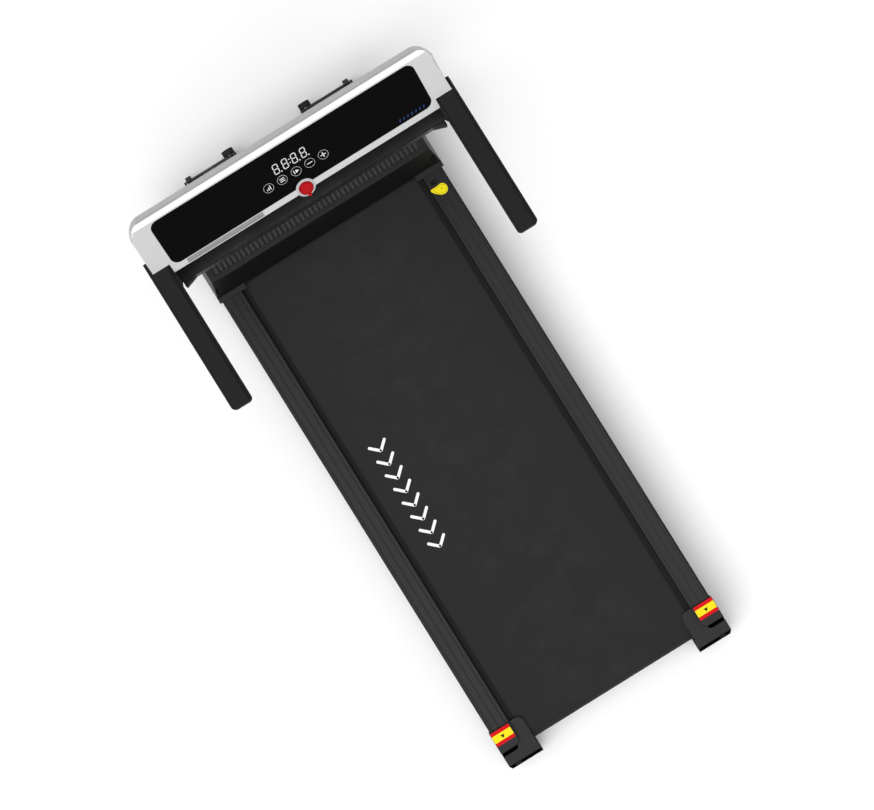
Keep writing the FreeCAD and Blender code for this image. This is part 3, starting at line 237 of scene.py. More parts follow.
def joined(pieces, name):
    bpy.ops.object.select_all(action="DESELECT")
    for piece in pieces:
        piece.select_set(True)
    bpy.context.view_layer.objects.active = pieces[0]
    if len(pieces) > 1:
        bpy.ops.object.join()
    whole = bpy.context.active_object
    whole.name = name
    whole.data.name = name
    return whole


def smooth(piece, degrees):
    only(piece)
    bpy.ops.object.shade_smooth_by_angle(angle=math.radians(degrees))
    return piece


def fitted(piece, name, body, finish):
    """Names a finished piece, gives it its finish and lets it ride on a body."""
    piece.name = name
    piece.data.name = name
    piece.data.materials.clear()
    piece.data.materials.append(finish)
    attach(piece, body)


SIDES = ((1, "right"), (-1, "left"))
print("helpers ready")

# %% [markdown]
# ## Surface effects
#
# Four effects turn up on many parts, so each is a shader node group: the fine grain of a
# moulded shell, the orange peel of powder coat, the streaks of turned or brushed steel, and
# the faint dust that settles on anything that faces up. A group has named inputs and puts out
# colours, roughness and a normal. The shader itself stays in each material.


# %% A helper for node groups
class Wiring:
    """A short way to add nodes to a tree and join their sockets."""

    def __init__(self, tree):
        self.tree = tree

    def node(self, kind, settings=None, **sockets):
        made = self.tree.nodes.new(kind)
        for key, value in (settings or {}).items():
            setattr(made, key, value)
        for key, value in sockets.items():
            self.feed(made.inputs[key.replace("_", " ")], value)
        return made

    def feed(self, socket, value):
        if isinstance(value, bpy.types.NodeSocket):
            self.tree.links.new(value, socket)
        else:
            socket.default_value = value

    def math(self, operation, a, b=0.0, clamp=False):
        made = self.tree.nodes.new("ShaderNodeMath")
        made.operation = operation
        made.use_clamp = clamp
        self.feed(made.inputs[0], a)
        self.feed(made.inputs[1], b)
        return made.outputs[0]

    def blend(self, share, a, b):
        made = self.tree.nodes.new("ShaderNodeMix")
        made.data_type = "RGBA"
        self.feed(made.inputs["Factor"], share)
        self.feed(made.inputs["A"], a)
        self.feed(made.inputs["B"], b)
        return made.outputs["Result"]

    def span(self, value, low, high, to_low, to_high):
        """Maps one range of values to another and stops at its ends."""
        made = self.tree.nodes.new("ShaderNodeMapRange")
        for socket, v in zip(made.inputs[:5], (value, low, high, to_low, to_high)):
            self.feed(socket, v)
        return made.outputs[0]

    def noise(self, vector, scale, detail=3.0, roughness=0.5):
        made = self.node("ShaderNodeTexNoise", None, Vector=vector, Scale=scale,
                         Detail=detail, Roughness=roughness)
        return made.outputs[0]

    def bump(self, height, depth, strength=1.0):
        made = self.node("ShaderNodeBump", None, Height=height, Distance=depth, Strength=strength)
        return made.outputs[0]

    def place(self):
        return self.node("ShaderNodeTexCoord").outputs["Object"]

    def facing(self):
        """The way a surface faces, split into X, Y and Z. It turns with the piece."""
        own = self.node("ShaderNodeTexCoord").outputs["Normal"]
        return self.node("ShaderNodeSeparateXYZ", None, Vector=own).outputs


def group_of(name, inputs, outputs):
    """An empty node group with named sockets, and the wiring to fill it."""
    tree = bpy.data.node_groups.new(name, "ShaderNodeTree")
    kinds = {"colour": "NodeSocketColor", "value": "NodeSocketFloat", "vector": "NodeSocketVector"}
    for label, (kind, default) in inputs.items():
        socket = tree.interface.new_socket(name=label, in_out="INPUT", socket_type=kinds[kind])
        socket.default_value = default
    for label, kind in outputs.items():
        tree.interface.new_socket(name=label, in_out="OUTPUT", socket_type=kinds[kind])
    wires = Wiring(tree)
    start = tree.nodes.new("NodeGroupInput")
    end = tree.nodes.new("NodeGroupOutput")
    return wires, start.outputs, end.inputs, wires.place()


print("group helper ready")

# %% The grain of a moulded shell
wires, given, out, place = group_of(
    "moulded_grain",
    {"Color": ("colour", (0.03, 0.03, 0.03, 1)), "Roughness": ("value", 0.5),
     "Grain Size": ("value", 0.0012), "Grain Depth": ("value", 0.00006),
     "Patchiness": ("value", 0.12)},
    {"Color": "colour", "Roughness": "value", "Normal": "vector"})
grain_scale = wires.math("DIVIDE", 1.0, given["Grain Size"])
cells = wires.node("ShaderNodeTexVoronoi", {"feature": "SMOOTH_F1"}, Vector=place,
                   Scale=grain_scale, Smoothness=0.6).outputs["Distance"]
fine = wires.noise(place, grain_scale, 2.0)
height = wires.math("ADD", cells, wires.math("MULTIPLY", fine, 0.6))
patches = wires.noise(place, 7.0, 4.0)
streaks = wires.noise(place, 60.0, 3.0)
uneven = wires.math("ADD", wires.math("MULTIPLY", patches, 0.7), wires.math("MULTIPLY", streaks, 0.3))
swing = wires.math("MULTIPLY", wires.math("SUBTRACT", uneven, 0.5), given["Patchiness"])
lift = wires.math("ADD", 1.0, wires.math("MULTIPLY", swing, 2.0))
tinted = wires.node("ShaderNodeVectorMath", {"operation": "SCALE"})
wires.feed(tinted.inputs[0], given["Color"])
wires.feed(tinted.inputs["Scale"], lift)
wires.feed(out["Color"], tinted.outputs[0])
wires.feed(out["Roughness"], wires.math("ADD", given["Roughness"], swing, clamp=True))
wires.feed(out["Normal"], wires.bump(height, given["Grain Depth"]))
print("moulded_grain:", len(wires.tree.nodes), "nodes")

# %% Powder coat on steel
wires, given, out, place = group_of(
    "powder_coat",
    {"Color": ("colour", (0.02, 0.02, 0.02, 1)), "Roughness": ("value", 0.45),
     "Peel Size": ("value", 0.0025), "Peel Depth": ("value", 0.00008),
     "Rub": ("value", 0.15)},
    {"Color": "colour", "Roughness": "value", "Normal": "vector"})
peel_scale = wires.math("DIVIDE", 1.0, given["Peel Size"])
peel = wires.noise(place, peel_scale, 1.5)
speck = wires.noise(place, wires.math("MULTIPLY", peel_scale, 3.0), 1.0)
rubbed = wires.span(wires.noise(place, 9.0, 5.0, 0.65), 0.5, 0.72, 0.0, 1.0)
share = wires.math("MULTIPLY", rubbed, given["Rub"])
wires.feed(out["Color"], wires.blend(share, given["Color"], (0.08, 0.08, 0.085, 1)))
smoother = wires.math("MULTIPLY", share, 0.8)
wires.feed(out["Roughness"], wires.math("SUBTRACT", given["Roughness"], smoother, clamp=True))
height = wires.math("ADD", peel, wires.math("MULTIPLY", speck, 0.25))
wires.feed(out["Normal"], wires.bump(height, given["Peel Depth"]))
print("powder_coat:", len(wires.tree.nodes), "nodes")

# %% Streaks of brushed or turned steel
wires, given, out, place = group_of(
    "metal_streaks",
    {"Color": ("colour", (0.6, 0.6, 0.6, 1)), "Roughness": ("value", 0.3),
     "Along": ("vector", (40.0, 1500.0, 1500.0)), "Depth": ("value", 0.00003)},
    {"Color": "colour", "Roughness": "value", "Normal": "vector"})
stretched = wires.node("ShaderNodeVectorMath", {"operation": "MULTIPLY"})
wires.feed(stretched.inputs[0], place)
wires.feed(stretched.inputs[1], given["Along"])
lines = wires.noise(stretched.outputs[0], 1.0, 4.0, 0.6)
tarnish = wires.noise(place, 35.0, 4.0)
dulled = wires.span(tarnish, 0.35, 0.75, 0.0, 0.5)
wires.feed(out["Color"], wires.blend(dulled, given["Color"], (0.32, 0.31, 0.3, 1)))
rougher = wires.math("MULTIPLY", lines, 0.18)
wires.feed(out["Roughness"], wires.math("ADD", given["Roughness"], rougher, clamp=True))
wires.feed(out["Normal"], wires.bump(lines, given["Depth"]))
print("metal_streaks:", len(wires.tree.nodes), "nodes")

# %% Dust on faces that look up, and light wear on edges
wires, given, out, place = group_of(
    "dust_and_wear",
    {"Color": ("colour", (0.03, 0.03, 0.03, 1)), "Dust": ("value", 0.05),
     "Wear": ("value", 0.2), "Wear Color": ("colour", (0.12, 0.12, 0.12, 1)),
     "Edge Width": ("value", 0.0012)},
    {"Color": "colour"})
upward = wires.span(wires.facing()["Z"], 0.3, 0.95, 0.0, 1.0)
specks = wires.span(wires.noise(place, 420.0, 6.0, 0.75), 0.56, 0.74, 0.0, 1.0)
haze = wires.noise(place, 5.0, 4.0)
dusty = wires.math("MULTIPLY", wires.math("MULTIPLY", upward, given["Dust"]),
                   wires.math("ADD", specks, wires.math("MULTIPLY", haze, 0.4)))
rounded = wires.node("ShaderNodeBevel", {"samples": 4}, Radius=given["Edge Width"])
agreement = wires.node("ShaderNodeVectorMath", {"operation": "DOT_PRODUCT"})
wires.feed(agreement.inputs[0], rounded.outputs[0])
wires.feed(agreement.inputs[1], wires.node("ShaderNodeNewGeometry").outputs["Normal"])
edges = wires.span(agreement.outputs["Value"], 0.995, 0.9, 0.0, 1.0)
broken = wires.span(wires.noise(place, 180.0, 4.0, 0.7), 0.42, 0.62, 0.0, 1.0)
worn = wires.math("MULTIPLY", wires.math("MULTIPLY", edges, broken), given["Wear"])
cleaned = wires.blend(worn, given["Color"], given["Wear Color"])
wires.feed(out["Color"], wires.blend(dusty, cleaned, (0.35, 0.34, 0.32, 1)))
print("dust_and_wear:", len(wires.tree.nodes), "nodes")


# %% [markdown]
# ## Finishes
#
# Each finish is one material. Most of them chain two groups: the first gives the grain, the
# second adds dust and wear to its colour. The blacks on this machine are not alike. The belt is
# a dry rubber, the rails are glossy, the handlebars have a fine leather-like grain, and the
# console panel is a polished lens.


# %% A helper for materials
finishes = {}


def new_material(name):
    """Starts a finish, keeps it by name, and returns its wiring and its shader."""
    made = bpy.data.materials.new(name)
    made.use_nodes = True
    finishes[name] = made
    return Wiring(made.node_tree), made.node_tree.nodes["Principled BSDF"]


def use_group(wires, group, **values):
    made = wires.tree.nodes.new("ShaderNodeGroup")
    made.node_tree = bpy.data.node_groups[group]
    for key, value in values.items():
        wires.feed(made.inputs[key.replace("_", " ")], value)
    return made.outputs


def lay(wires, shader, colour, surface):
    """Feeds a colour, and the roughness and normal of a surface effect, to the shader."""
    wires.feed(shader.inputs["Base Color"], colour)
    for socket in ("Roughness", "Normal"):
        wires.feed(shader.inputs[socket], surface[socket])


def coated(name, effect, colour, roughness, dust=0.03, wear=0.1, worn=(0.1, 0.1, 0.1), specular=0.5,
           metallic=0.0, coat=0.0, **effect_values):
    """A finish made of one surface effect with dust and wear over it."""
    wires, shader = new_material(name)
    surface = use_group(wires, effect, Color=(*colour, 1), Roughness=roughness, **effect_values)
    aged = use_group(wires, "dust_and_wear", Color=surface["Color"], Dust=dust, Wear=wear,
                     Wear_Color=(*worn, 1))
    lay(wires, shader, aged["Color"], surface)
    shader.inputs["Metallic"].default_value = metallic
    shader.inputs["Specular IOR Level"].default_value = specular
    shader.inputs["Coat Weight"].default_value = coat
    shader.inputs["Coat Roughness"].default_value = 0.1


print("material helper ready")

# %% Plastics, rubbers, paints and metals
coated("frame_steel", "powder_coat", (0.004, 0.004, 0.0042), 0.42, specular=0.17, wear=0.08)
coated("bronze", "metal_streaks", (0.55, 0.36, 0.16), 0.32, metallic=1.0, dust=0.1,
       Along=(1500.0, 60.0, 60.0))
coated("soft_rubber", "moulded_grain", (0.014, 0.014, 0.014), 0.82, specular=0.25, dust=0.12,
       Grain_Size=0.0016, Grain_Depth=0.00012)
coated("grey_rubber", "moulded_grain", (0.3, 0.3, 0.305), 0.6, specular=0.25, wear=0.0,
       Grain_Size=0.0012, Grain_Depth=0.0001)
coated("rib_plastic", "moulded_grain", (0.0185, 0.0185, 0.019), 0.5, specular=0.25, wear=0.0)
coated("filter_foam", "moulded_grain", (0.03, 0.03, 0.03), 0.8, specular=0.2, wear=0.0)
coated("roller_steel", "metal_streaks", (0.5, 0.5, 0.51), 0.28, metallic=1.0, Along=(1800.0, 30.0, 30.0))
coated("bright_steel", "metal_streaks", (0.62, 0.62, 0.63), 0.25, metallic=1.0, wear=0.05,
       Along=(500.0, 500.0, 900.0))
coated("motor_paint", "powder_coat", (0.015, 0.015, 0.016), 0.5, wear=0.2)
coated("pulley_iron", "metal_streaks", (0.2, 0.2, 0.2), 0.45, metallic=1.0, Along=(1500.0, 40.0, 40.0))
coated("black_plastic", "moulded_grain", (0.008, 0.008, 0.008), 0.55, specular=0.25)
coated("rail_plastic", "moulded_grain", (0.0065, 0.0065, 0.007), 0.34, specular=0.16, wear=0.12,
       Grain_Size=0.002, Grain_Depth=0.00002, Patchiness=0.06, dust=0.02)
coated("hood_plastic", "moulded_grain", (0.0045, 0.0045, 0.005), 0.45, specular=0.2, wear=0.1,
       Grain_Size=0.0009, Grain_Depth=0.00004)
coated("red_plastic", "moulded_grain", (0.44, 0.005, 0.008), 0.45, specular=0.12, wear=0.0, dust=0.0,
       Grain_Size=0.0008, Grain_Depth=0.00003)
coated("sheet_zinc", "powder_coat", (0.006, 0.006, 0.006), 0.4, specular=0.25, wear=0.1)
coated("wheel_plastic", "moulded_grain", (0.013, 0.013, 0.013), 0.6, specular=0.3, dust=0.1, wear=0.4,
       worn=(0.09, 0.09, 0.09))
coated("strut_paint", "powder_coat", (0.01, 0.01, 0.01), 0.18, coat=0.5, Peel_Depth=0.00002)
coated("bar_plastic", "moulded_grain", (0.0048, 0.0048, 0.005), 0.62, specular=0.17, wear=0.0,
       Grain_Size=0.0013, Grain_Depth=0.00012, dust=0.015)
coated("black_oxide", "powder_coat", (0.004, 0.004, 0.0045), 0.5, specular=0.15, Rub=0.05,
       Peel_Size=0.0008, Peel_Depth=0.00002)
coated("circuit_green", "moulded_grain", (0.02, 0.16, 0.06), 0.4)
coated("white_plastic", "moulded_grain", (0.62, 0.62, 0.63), 0.35, wear=0.0, dust=0.0)
print("finishes:", len(finishes))

# %% [markdown]
# ### The walking belt
#
# A treadmill belt is rubber over a woven core. Its face carries a fine embossed diamond, about
# two millimetres across, which scatters light and reads as an even charcoal from a distance.
# Two crossed wave textures give the diamond. A broad noise makes the middle, where feet land,
# a little smoother than the edges.

# %% Belt rubber
wires, shader = new_material("belt_rubber")
place = wires.place()
height = None
for turn in (45, -45):
    turned = wires.node("ShaderNodeMapping", None, Vector=place, Rotation=(0, 0, math.radians(turn)))
    wave = wires.node("ShaderNodeTexWave", {"wave_type": "BANDS", "bands_direction": "X"},
                      Vector=turned.outputs[0], Scale=130.0, Distortion=0.3, Detail=1.0)
    height = wave.outputs["Fac"] if height is None else wires.math("MINIMUM", height, wave.outputs["Fac"])
split = wires.node("ShaderNodeSeparateXYZ", None, Vector=place)
from_middle = wires.math("ABSOLUTE", split.outputs["X"])
walked = wires.span(from_middle, 0.08, 0.19, 1.0, 0.0)
scuffs = wires.noise(place, 14.0, 6.0, 0.7)
trodden = wires.math("MULTIPLY", walked, wires.span(scuffs, 0.42, 0.7, 0.0, 1.0))
speckle = wires.noise(place, 900.0, 2.0)
dry = wires.blend(wires.span(speckle, 0.35, 0.7, 0.0, 1.0),
                  (0.0125, 0.0125, 0.013, 1), (0.0172, 0.0172, 0.0176, 1))
rubber = wires.blend(wires.math("MULTIPLY", trodden, 0.06), dry, (0.03, 0.03, 0.03, 1))
aged = use_group(wires, "dust_and_wear", Color=rubber, Dust=0.012, Wear=0.0)
wires.feed(shader.inputs["Base Color"], aged["Color"])
wires.feed(shader.inputs["Roughness"], wires.span(trodden, 0.0, 1.0, 0.74, 0.62))
shader.inputs["Specular IOR Level"].default_value = 0.2
wires.feed(shader.inputs["Normal"], wires.bump(height, 0.00025, 0.7))
print("belt_rubber ready")

# %% [markdown]
# ### The running board, the lens and the console's lacquer
#
# The board is plywood with a black waxed film on both faces, so only its edge shows layers. A
# wave along Z gives the plies and a stretched noise gives the grain. The lens is nearly
# perfect: black, polished, with only a trace of finger haze in its roughness. The console's
# silver carries painted light in three tones: a painted highlight in white along the top ridge, silver
# on the face, and painted shade in a darker grey on the back and the ends. The way each surface faces tells
# the shader which tone to use.

# %% Board plywood
wires, shader = new_material("board_ply")
place = wires.place()
facing = wires.facing()
is_film = wires.math("GREATER_THAN", wires.math("ABSOLUTE", facing["Z"]), 0.7)
stretch = wires.node("ShaderNodeMapping", None, Vector=place, Scale=(30.0, 30.0, 600.0))
grain = wires.noise(stretch.outputs[0], 1.0, 5.0, 0.6)
plies = wires.node("ShaderNodeTexWave", {"wave_type": "BANDS", "bands_direction": "Z"}, Vector=place,
                   Scale=110.0, Distortion=0.4).outputs["Fac"]
wood = wires.blend(plies, (0.36, 0.24, 0.13, 1), (0.2, 0.12, 0.06, 1))
wood = wires.blend(wires.math("MULTIPLY", grain, 0.5), wood, (0.12, 0.07, 0.04, 1))
wires.feed(shader.inputs["Base Color"], wires.blend(is_film, wood, (0.0042, 0.0042, 0.0042, 1)))
wires.feed(shader.inputs["Roughness"], wires.span(is_film, 0.0, 1.0, 0.7, 0.55))
wires.feed(shader.inputs["Normal"], wires.bump(grain, 0.0001, 0.5))
shader.inputs["Specular IOR Level"].default_value = 0.12

# %% Console lens
wires, shader = new_material("panel_gloss")
place = wires.place()
haze = wires.noise(place, 12.0, 5.0, 0.6)
shader.inputs["Base Color"].default_value = (0.002, 0.002, 0.0022, 1)
wires.feed(shader.inputs["Roughness"], wires.span(haze, 0.35, 0.75, 0.07, 0.16))
shader.inputs["Specular IOR Level"].default_value = 0.08
print("board_ply and panel_gloss ready")


# %% Silver lacquer on the console
wires, shader = new_material("silver_plastic")
facing = wires.facing()
# Painted highlight in white where the surface faces up, painted shade in grey where it faces back or to the
# ends.
painted_ridge_highlight = wires.span(facing["Z"], 0.78, 0.86, 0.0, 1.0)
painted_back_shade = wires.span(facing["Y"], 0.45, 0.65, 0.0, 1.0)
ends = wires.span(wires.math("ABSOLUTE", facing["X"]), 0.7, 0.9, 0.0, 1.0)
base = wires.blend(painted_ridge_highlight, (0.6, 0.603, 0.608, 1), (0.92, 0.92, 0.92, 1))
# The grey mixed in here is painted shade on the back and the ends.
base = wires.blend(wires.math("MAXIMUM", painted_back_shade, ends), base, (0.34, 0.342, 0.346, 1))
surface = use_group(wires, "moulded_grain", Color=base, Roughness=0.36, Grain_Size=0.0006,
                    Grain_Depth=0.00001, Patchiness=0.02)
lay(wires, shader, surface["Color"], surface)
shader.inputs["Coat Weight"].default_value = 0.12
shader.inputs["Coat Roughness"].default_value = 0.2
print("silver_plastic ready")


# %% [markdown]
# ### The rear caps
#
# The rear caps are matt moulded plastic. Their rear faces get painted shade: the
# shader darkens whatever faces to the rear. A thin coat gives the little gloss that there is, and
# it fades out on the rear face.

# %% Plastic of the rear caps
wires, shader = new_material("cap_plastic")
facing = wires.facing()
# Painted shade: faces turned to the rear are darkened, and the coat fades out there.
painted_rear_shade = wires.span(facing["Y"], -0.75, -0.95, 0.0, 1.0)
base = wires.blend(painted_rear_shade, (0.0285, 0.0285, 0.029, 1), (0.0025, 0.0025, 0.0025, 1))
surface = use_group(wires, "moulded_grain", Color=base, Roughness=0.6, Grain_Size=0.0011,
                    Grain_Depth=0.00006)
aged = use_group(wires, "dust_and_wear", Color=surface["Color"], Dust=0.03, Wear=0.08)
lay(wires, shader, aged["Color"], surface)
shader.inputs["Specular IOR Level"].default_value = 0.0
wires.feed(shader.inputs["Coat Weight"], wires.span(painted_rear_shade, 0.0, 1.0, 0.08, 0.0))
shader.inputs["Coat Roughness"].default_value = 0.4
print("cap_plastic ready")

# %% [markdown]
# ### Inks and films
#
# A printed mark is a thin, even film. It gets only a trace of grain, and the display's marks
# also glow a little, which keeps them readable on the black lens. The blue print on the lens
# has a painted glow as well.


# %% Printed inks and lit marks
def ink(name, colour, roughness=0.45, glow=0.0, specular=0.1):
    """A printed film or a lit mark, with a little unevenness in the ink."""
    wires, shader = new_material(name)
    surface = use_group(wires, "moulded_grain", Color=(*colour, 1), Roughness=roughness, Grain_Size=0.0007,
                        Grain_Depth=0.000008, Patchiness=0.05)
    lay(wires, shader, surface["Color"], surface)
    shader.inputs["Specular IOR Level"].default_value = specular
    if glow:
        shader.inputs["Emission Color"].default_value = (*colour, 1)
        shader.inputs["Emission Strength"].default_value = glow
    return finishes[name]


INKS = {
    "white": ink("white_ink", (0.86, 0.86, 0.86)),
    "yellow": ink("yellow_film", (0.86, 0.72, 0.008), 0.45),
    "red": ink("red_film", (0.62, 0.006, 0.01), 0.5, specular=0.05),
    "dark red": ink("dark_red_line", (0.16, 0.002, 0.004), 0.5, specular=0.05),
    "grey": ink("grey_line", (0.36, 0.37, 0.365), 0.5),
    # The shade ink is near-black and paints the shadow in the rear caps' grooves.
    "shade": ink("painted_groove_shadow", (0.0012, 0.0012, 0.0012), 0.8, specular=0.0),
    "black": ink("black_ink", (0.004, 0.004, 0.004), 0.4),
    "lit": ink("lit_white", (0.7, 0.7, 0.7), 0.3, 0.2),
    # The blue print gets a painted glow.
    "blue": ink("blue_ink_painted_glow", (0.03, 0.09, 0.3), 0.4, 0.25),
}
print("inks:", sorted(INKS))

# %% [markdown]
# ### The floor, and a finish on every piece
#
# The floor's roughness wanders a little, so that its shine isn't dead even. Then each piece of
# the frame takes the finish that its slot names. The hood's screws and the belt's tension bolts
# are blackened steel.

# %% Floor paint, and a finish on every node of the frame
wires, shader = new_material("floor_white")
place = wires.place()
shader.inputs["Base Color"].default_value = (0.96, 0.96, 0.96, 1)
wires.feed(shader.inputs["Roughness"], wires.span(wires.noise(place, 3.0), 0.3, 0.7, 0.65, 0.75))
shader.inputs["Specular IOR Level"].default_value = 0.1
floor.data.materials.append(finishes["floor_white"])

BLACKENED = ("hood_screws", "tension_bolts")
for name, node in nodes.items():
    node.data.materials.append(finishes["black_oxide" if name in BLACKENED else slot_of[name]])
print("nodes dressed:", len(nodes))

# %% [markdown]
# ## Moulded shells with real edges
#
# A mould can't make a knife edge, and a sharp edge catches no light. The frame's shells are
# exact but sharp, so we work on a copy: merge its loose triangles, dissolve flat faces back
# into whole ones, round every edge with the Bevel modifier, and smooth the shading. The copy
# then stands for the node, which stays hidden in the frame.


# %% Round the edges of a shell
FACE_SLOPE = math.radians(42.5)
FACE_OUT = Vector((0.0, -math.sin(FACE_SLOPE), math.cos(FACE_SLOPE)))
CORNER_X, CORNER_DEEP = 0.2790, 0.0550


def console_rim(shell):
    """A test for the edges where the console's sloped face meets its two rounded corners."""
    corner_y = max(v.co.y for v in shell.data.vertices) - CORNER_DEEP
    beside = {}
    for face in shell.data.polygons:
        for key in face.edge_keys:
            beside.setdefault(key, []).append(face.normal.dot(FACE_OUT))

    def on_rim(mesh, edge):
        ends = [mesh.vertices[v].co for v in edge.vertices]
        near = all(abs(p.x) > CORNER_X and p.y > corner_y for p in ends)
        tilts = beside[edge.key]
        return near and max(tilts) > 0.995 and -0.3 < min(tilts) < 0.85

    return on_rim


def softened(node, radius, rim=0.0):
    """A copy of a frame node with rounded edges, which then stands for that node."""
    source = nodes[node]
    body, slot = source["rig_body"], slot_of[node]
    only(source)
    bpy.ops.object.duplicate()
    shell = bpy.context.active_object
    shell.parent = None
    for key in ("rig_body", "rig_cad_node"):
        if key in shell:
            del shell[key]
    bpy.ops.mesh.customdata_custom_splitnormals_clear()
    bpy.ops.object.mode_set(mode="EDIT")
    bpy.ops.mesh.select_all(action="SELECT")
    bpy.ops.mesh.remove_doubles(threshold=0.00002)
    bpy.ops.mesh.dissolve_limited(angle_limit=math.radians(0.6))
    done()
    if rim:
        print("rim edges:", pick(shell, "edges", console_rim(shell)))
        bpy.ops.mesh.bevel(offset=rim, segments=4)
        done()
    rounded_off(shell, radius, 2, 30, use_clamp_overlap=True, harden_normals=False,
                miter_outer="MITER_ARC")
    smooth(shell, 40)
    modified(shell, "WEIGHTED_NORMAL", keep_sharp=True, weight=80)
    fitted(shell, node + "_shell", body, finishes[slot])
    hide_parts(node)
    print(node, "rounded:", len(shell.data.polygons), "faces")


SHELLS = {
    "console_housing": 0.0016, "console_back": 0.0012, "motor_hood": 0.0022,
    "rear_cap_left": 0.0012, "rear_cap_right": 0.0012, "belly_pan": 0.0006,
    "side_rail_left": 0.0005, "side_rail_right": 0.0005,
}
for node, radius in SHELLS.items():
    softened(node, radius, rim=0.0050 if node == "console_housing" else 0.0)

# %% [markdown]
# ## The console face
#
# Everything on the console is laid out on its sloped face, so it is easiest to model each mark
# flat, in the face's own directions: X across, S up the slope and N out of it. One matrix then
# lifts the flat drawing into place. Its place comes from the lens, which lies in that face.

# %% The face's own directions
lens_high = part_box("console_panel")[1]
FACE_RISE = Vector((0.0, math.cos(FACE_SLOPE), math.sin(FACE_SLOPE)))
LENS_THICK, LENS_END = 0.0030, 0.1199
top_edge = Vector((0.0, lens_high.y - LENS_THICK * math.sin(FACE_SLOPE), lens_high.z))
FACE_ORIGIN = top_edge - FACE_RISE * LENS_END
FACE_TURN = Matrix((Vector((1, 0, 0)), FACE_RISE, FACE_OUT)).transposed().to_4x4()
ON_FACE = Matrix.Translation(FACE_ORIGIN) @ FACE_TURN
print("the face starts at", [round(v, 4) for v in FACE_ORIGIN])


# %% Flat marks
FILM = 0.0002


def bar(x, y, wide, tall, thick=FILM, round_by=0.0, turn=0.0, lift=0.0):
    """A thin plate lying in the XY plane, with rounded corners if asked."""
    bpy.ops.mesh.primitive_cube_add(size=1, location=(x, y, lift + thick / 2), rotation=(0, 0, turn))
    plate = bpy.context.active_object
    plate.scale = (wide, tall, thick)
    bpy.ops.object.transform_apply(location=False, rotation=False, scale=True)
    if round_by:
        def is_upright(mesh, edge):
            first, last = (mesh.vertices[v].co.z for v in edge.vertices)
            return abs(first - last) > thick / 2

        pick(plate, "edges", is_upright)
        bpy.ops.mesh.bevel(offset=round_by, segments=4)
        done()
    return placed(plate)


def disc(x, y, radius, thick=FILM, sides=40, turn=0.0, lift=0.0):
    bpy.ops.mesh.primitive_cylinder_add(radius=radius, depth=thick, vertices=sides,
                                        location=(x, y, lift + thick / 2), rotation=(0, 0, turn))
    return placed(bpy.context.active_object)


def hoop(x, y, radius, width, lift=0.0):
    """A flat ring: a disc whose two faces are inset, deleted and bridged."""
    ring = disc(0, 0, radius, sides=48)
    pick(ring, "faces", is_flat)
    inset(width)
    bpy.ops.mesh.bridge_edge_loops()
    done()
    ring.location = (x, y, lift)
    return placed(ring)


def wedge(x, y, radius, turn, thick=FILM, lift=0.0):
    return disc(x, y, radius, thick, 3, turn, lift)


print("mark makers ready")

# %% [markdown]
# ### Four digits
#
# The display shows four eights, every segment lit. One segment is a thin bar with pointed ends. It
# is made by a function, called seven times for a digit, and the digit leans over a little as
# such displays do.


# %% One segment, then digits
SEGMENT_LONG, SEGMENT_WIDE = 0.0088, 0.0016
SEGMENT_POINT = 0.45
SEGMENT_GAP = 0.0003
DIGIT_TALL = 0.0205
LEAN = 0.09


def segment(x, y, turn):
    """A bar whose two ends are drawn out to a point."""
    piece = bar(0, 0, SEGMENT_LONG - SEGMENT_WIDE, SEGMENT_WIDE)
    pick(piece, "faces", lambda mesh, f: abs(f.normal.x) > 0.9)
    inset(0.0)
    done()
    for side in (-1, 1):
        pick(piece, "faces", lambda mesh, f: f.normal.x * side > 0.9)
        pull(x=side * SEGMENT_WIDE * SEGMENT_POINT)
        bpy.ops.transform.resize(value=(1, 0.15, 1))
        done()
    piece.rotation_euler.z = turn
    piece.location = (x, y, 0)
    return placed(piece)


half, step = SEGMENT_LONG / 2 + SEGMENT_GAP, DIGIT_TALL / 4
PLACES = [(0, 2 * step, 0), (0, 0, 0), (0, -2 * step, 0)]
PLACES += [(x, y, math.pi / 2) for x in (-half, half) for y in (-step, step)]


def digit(x, s):
    pieces = [segment(px, py, turn) for px, py, turn in PLACES]
    whole = joined(pieces, "digit")
    whole.data.transform(Matrix(((1, LEAN, 0, x), (0, 1, 0, s), (0, 0, 1, 0), (0, 0, 0, 1))))
    return whole


DIGIT_ROW = 0.0772
DIGIT_X = (-0.0287, -0.0098, 0.0092, 0.0281)
POINT_ASIDE, POINT_R = 0.0075, 0.0013
COLON_LEAN, COLON_UP, COLON_R = 0.0004, 0.0040, 0.0012
marks = [digit(x, DIGIT_ROW) for x in DIGIT_X]
for x in (DIGIT_X[0], DIGIT_X[2], DIGIT_X[3]):
    marks.append(disc(x + POINT_ASIDE, DIGIT_ROW - DIGIT_TALL / 2, POINT_R, sides=16))
colon_x = (DIGIT_X[1] + DIGIT_X[2]) / 2
for way in (-1, 1):
    marks.append(disc(colon_x + way * COLON_LEAN, DIGIT_ROW + way * COLON_UP, COLON_R, sides=16))
digits = placed(joined(marks, "display_digits"), ON_FACE)
fitted(digits, "display_digits", "base", INKS["lit"])
print("digits:", len(digits.data.polygons), "faces")

# %% [markdown]
# ### Five touch symbols
#
# Below the digits a row of five touch fields is printed, each a ring with a symbol: a rising
# bar chart for the programs, three lines for the mode, start and pause, less, and more.

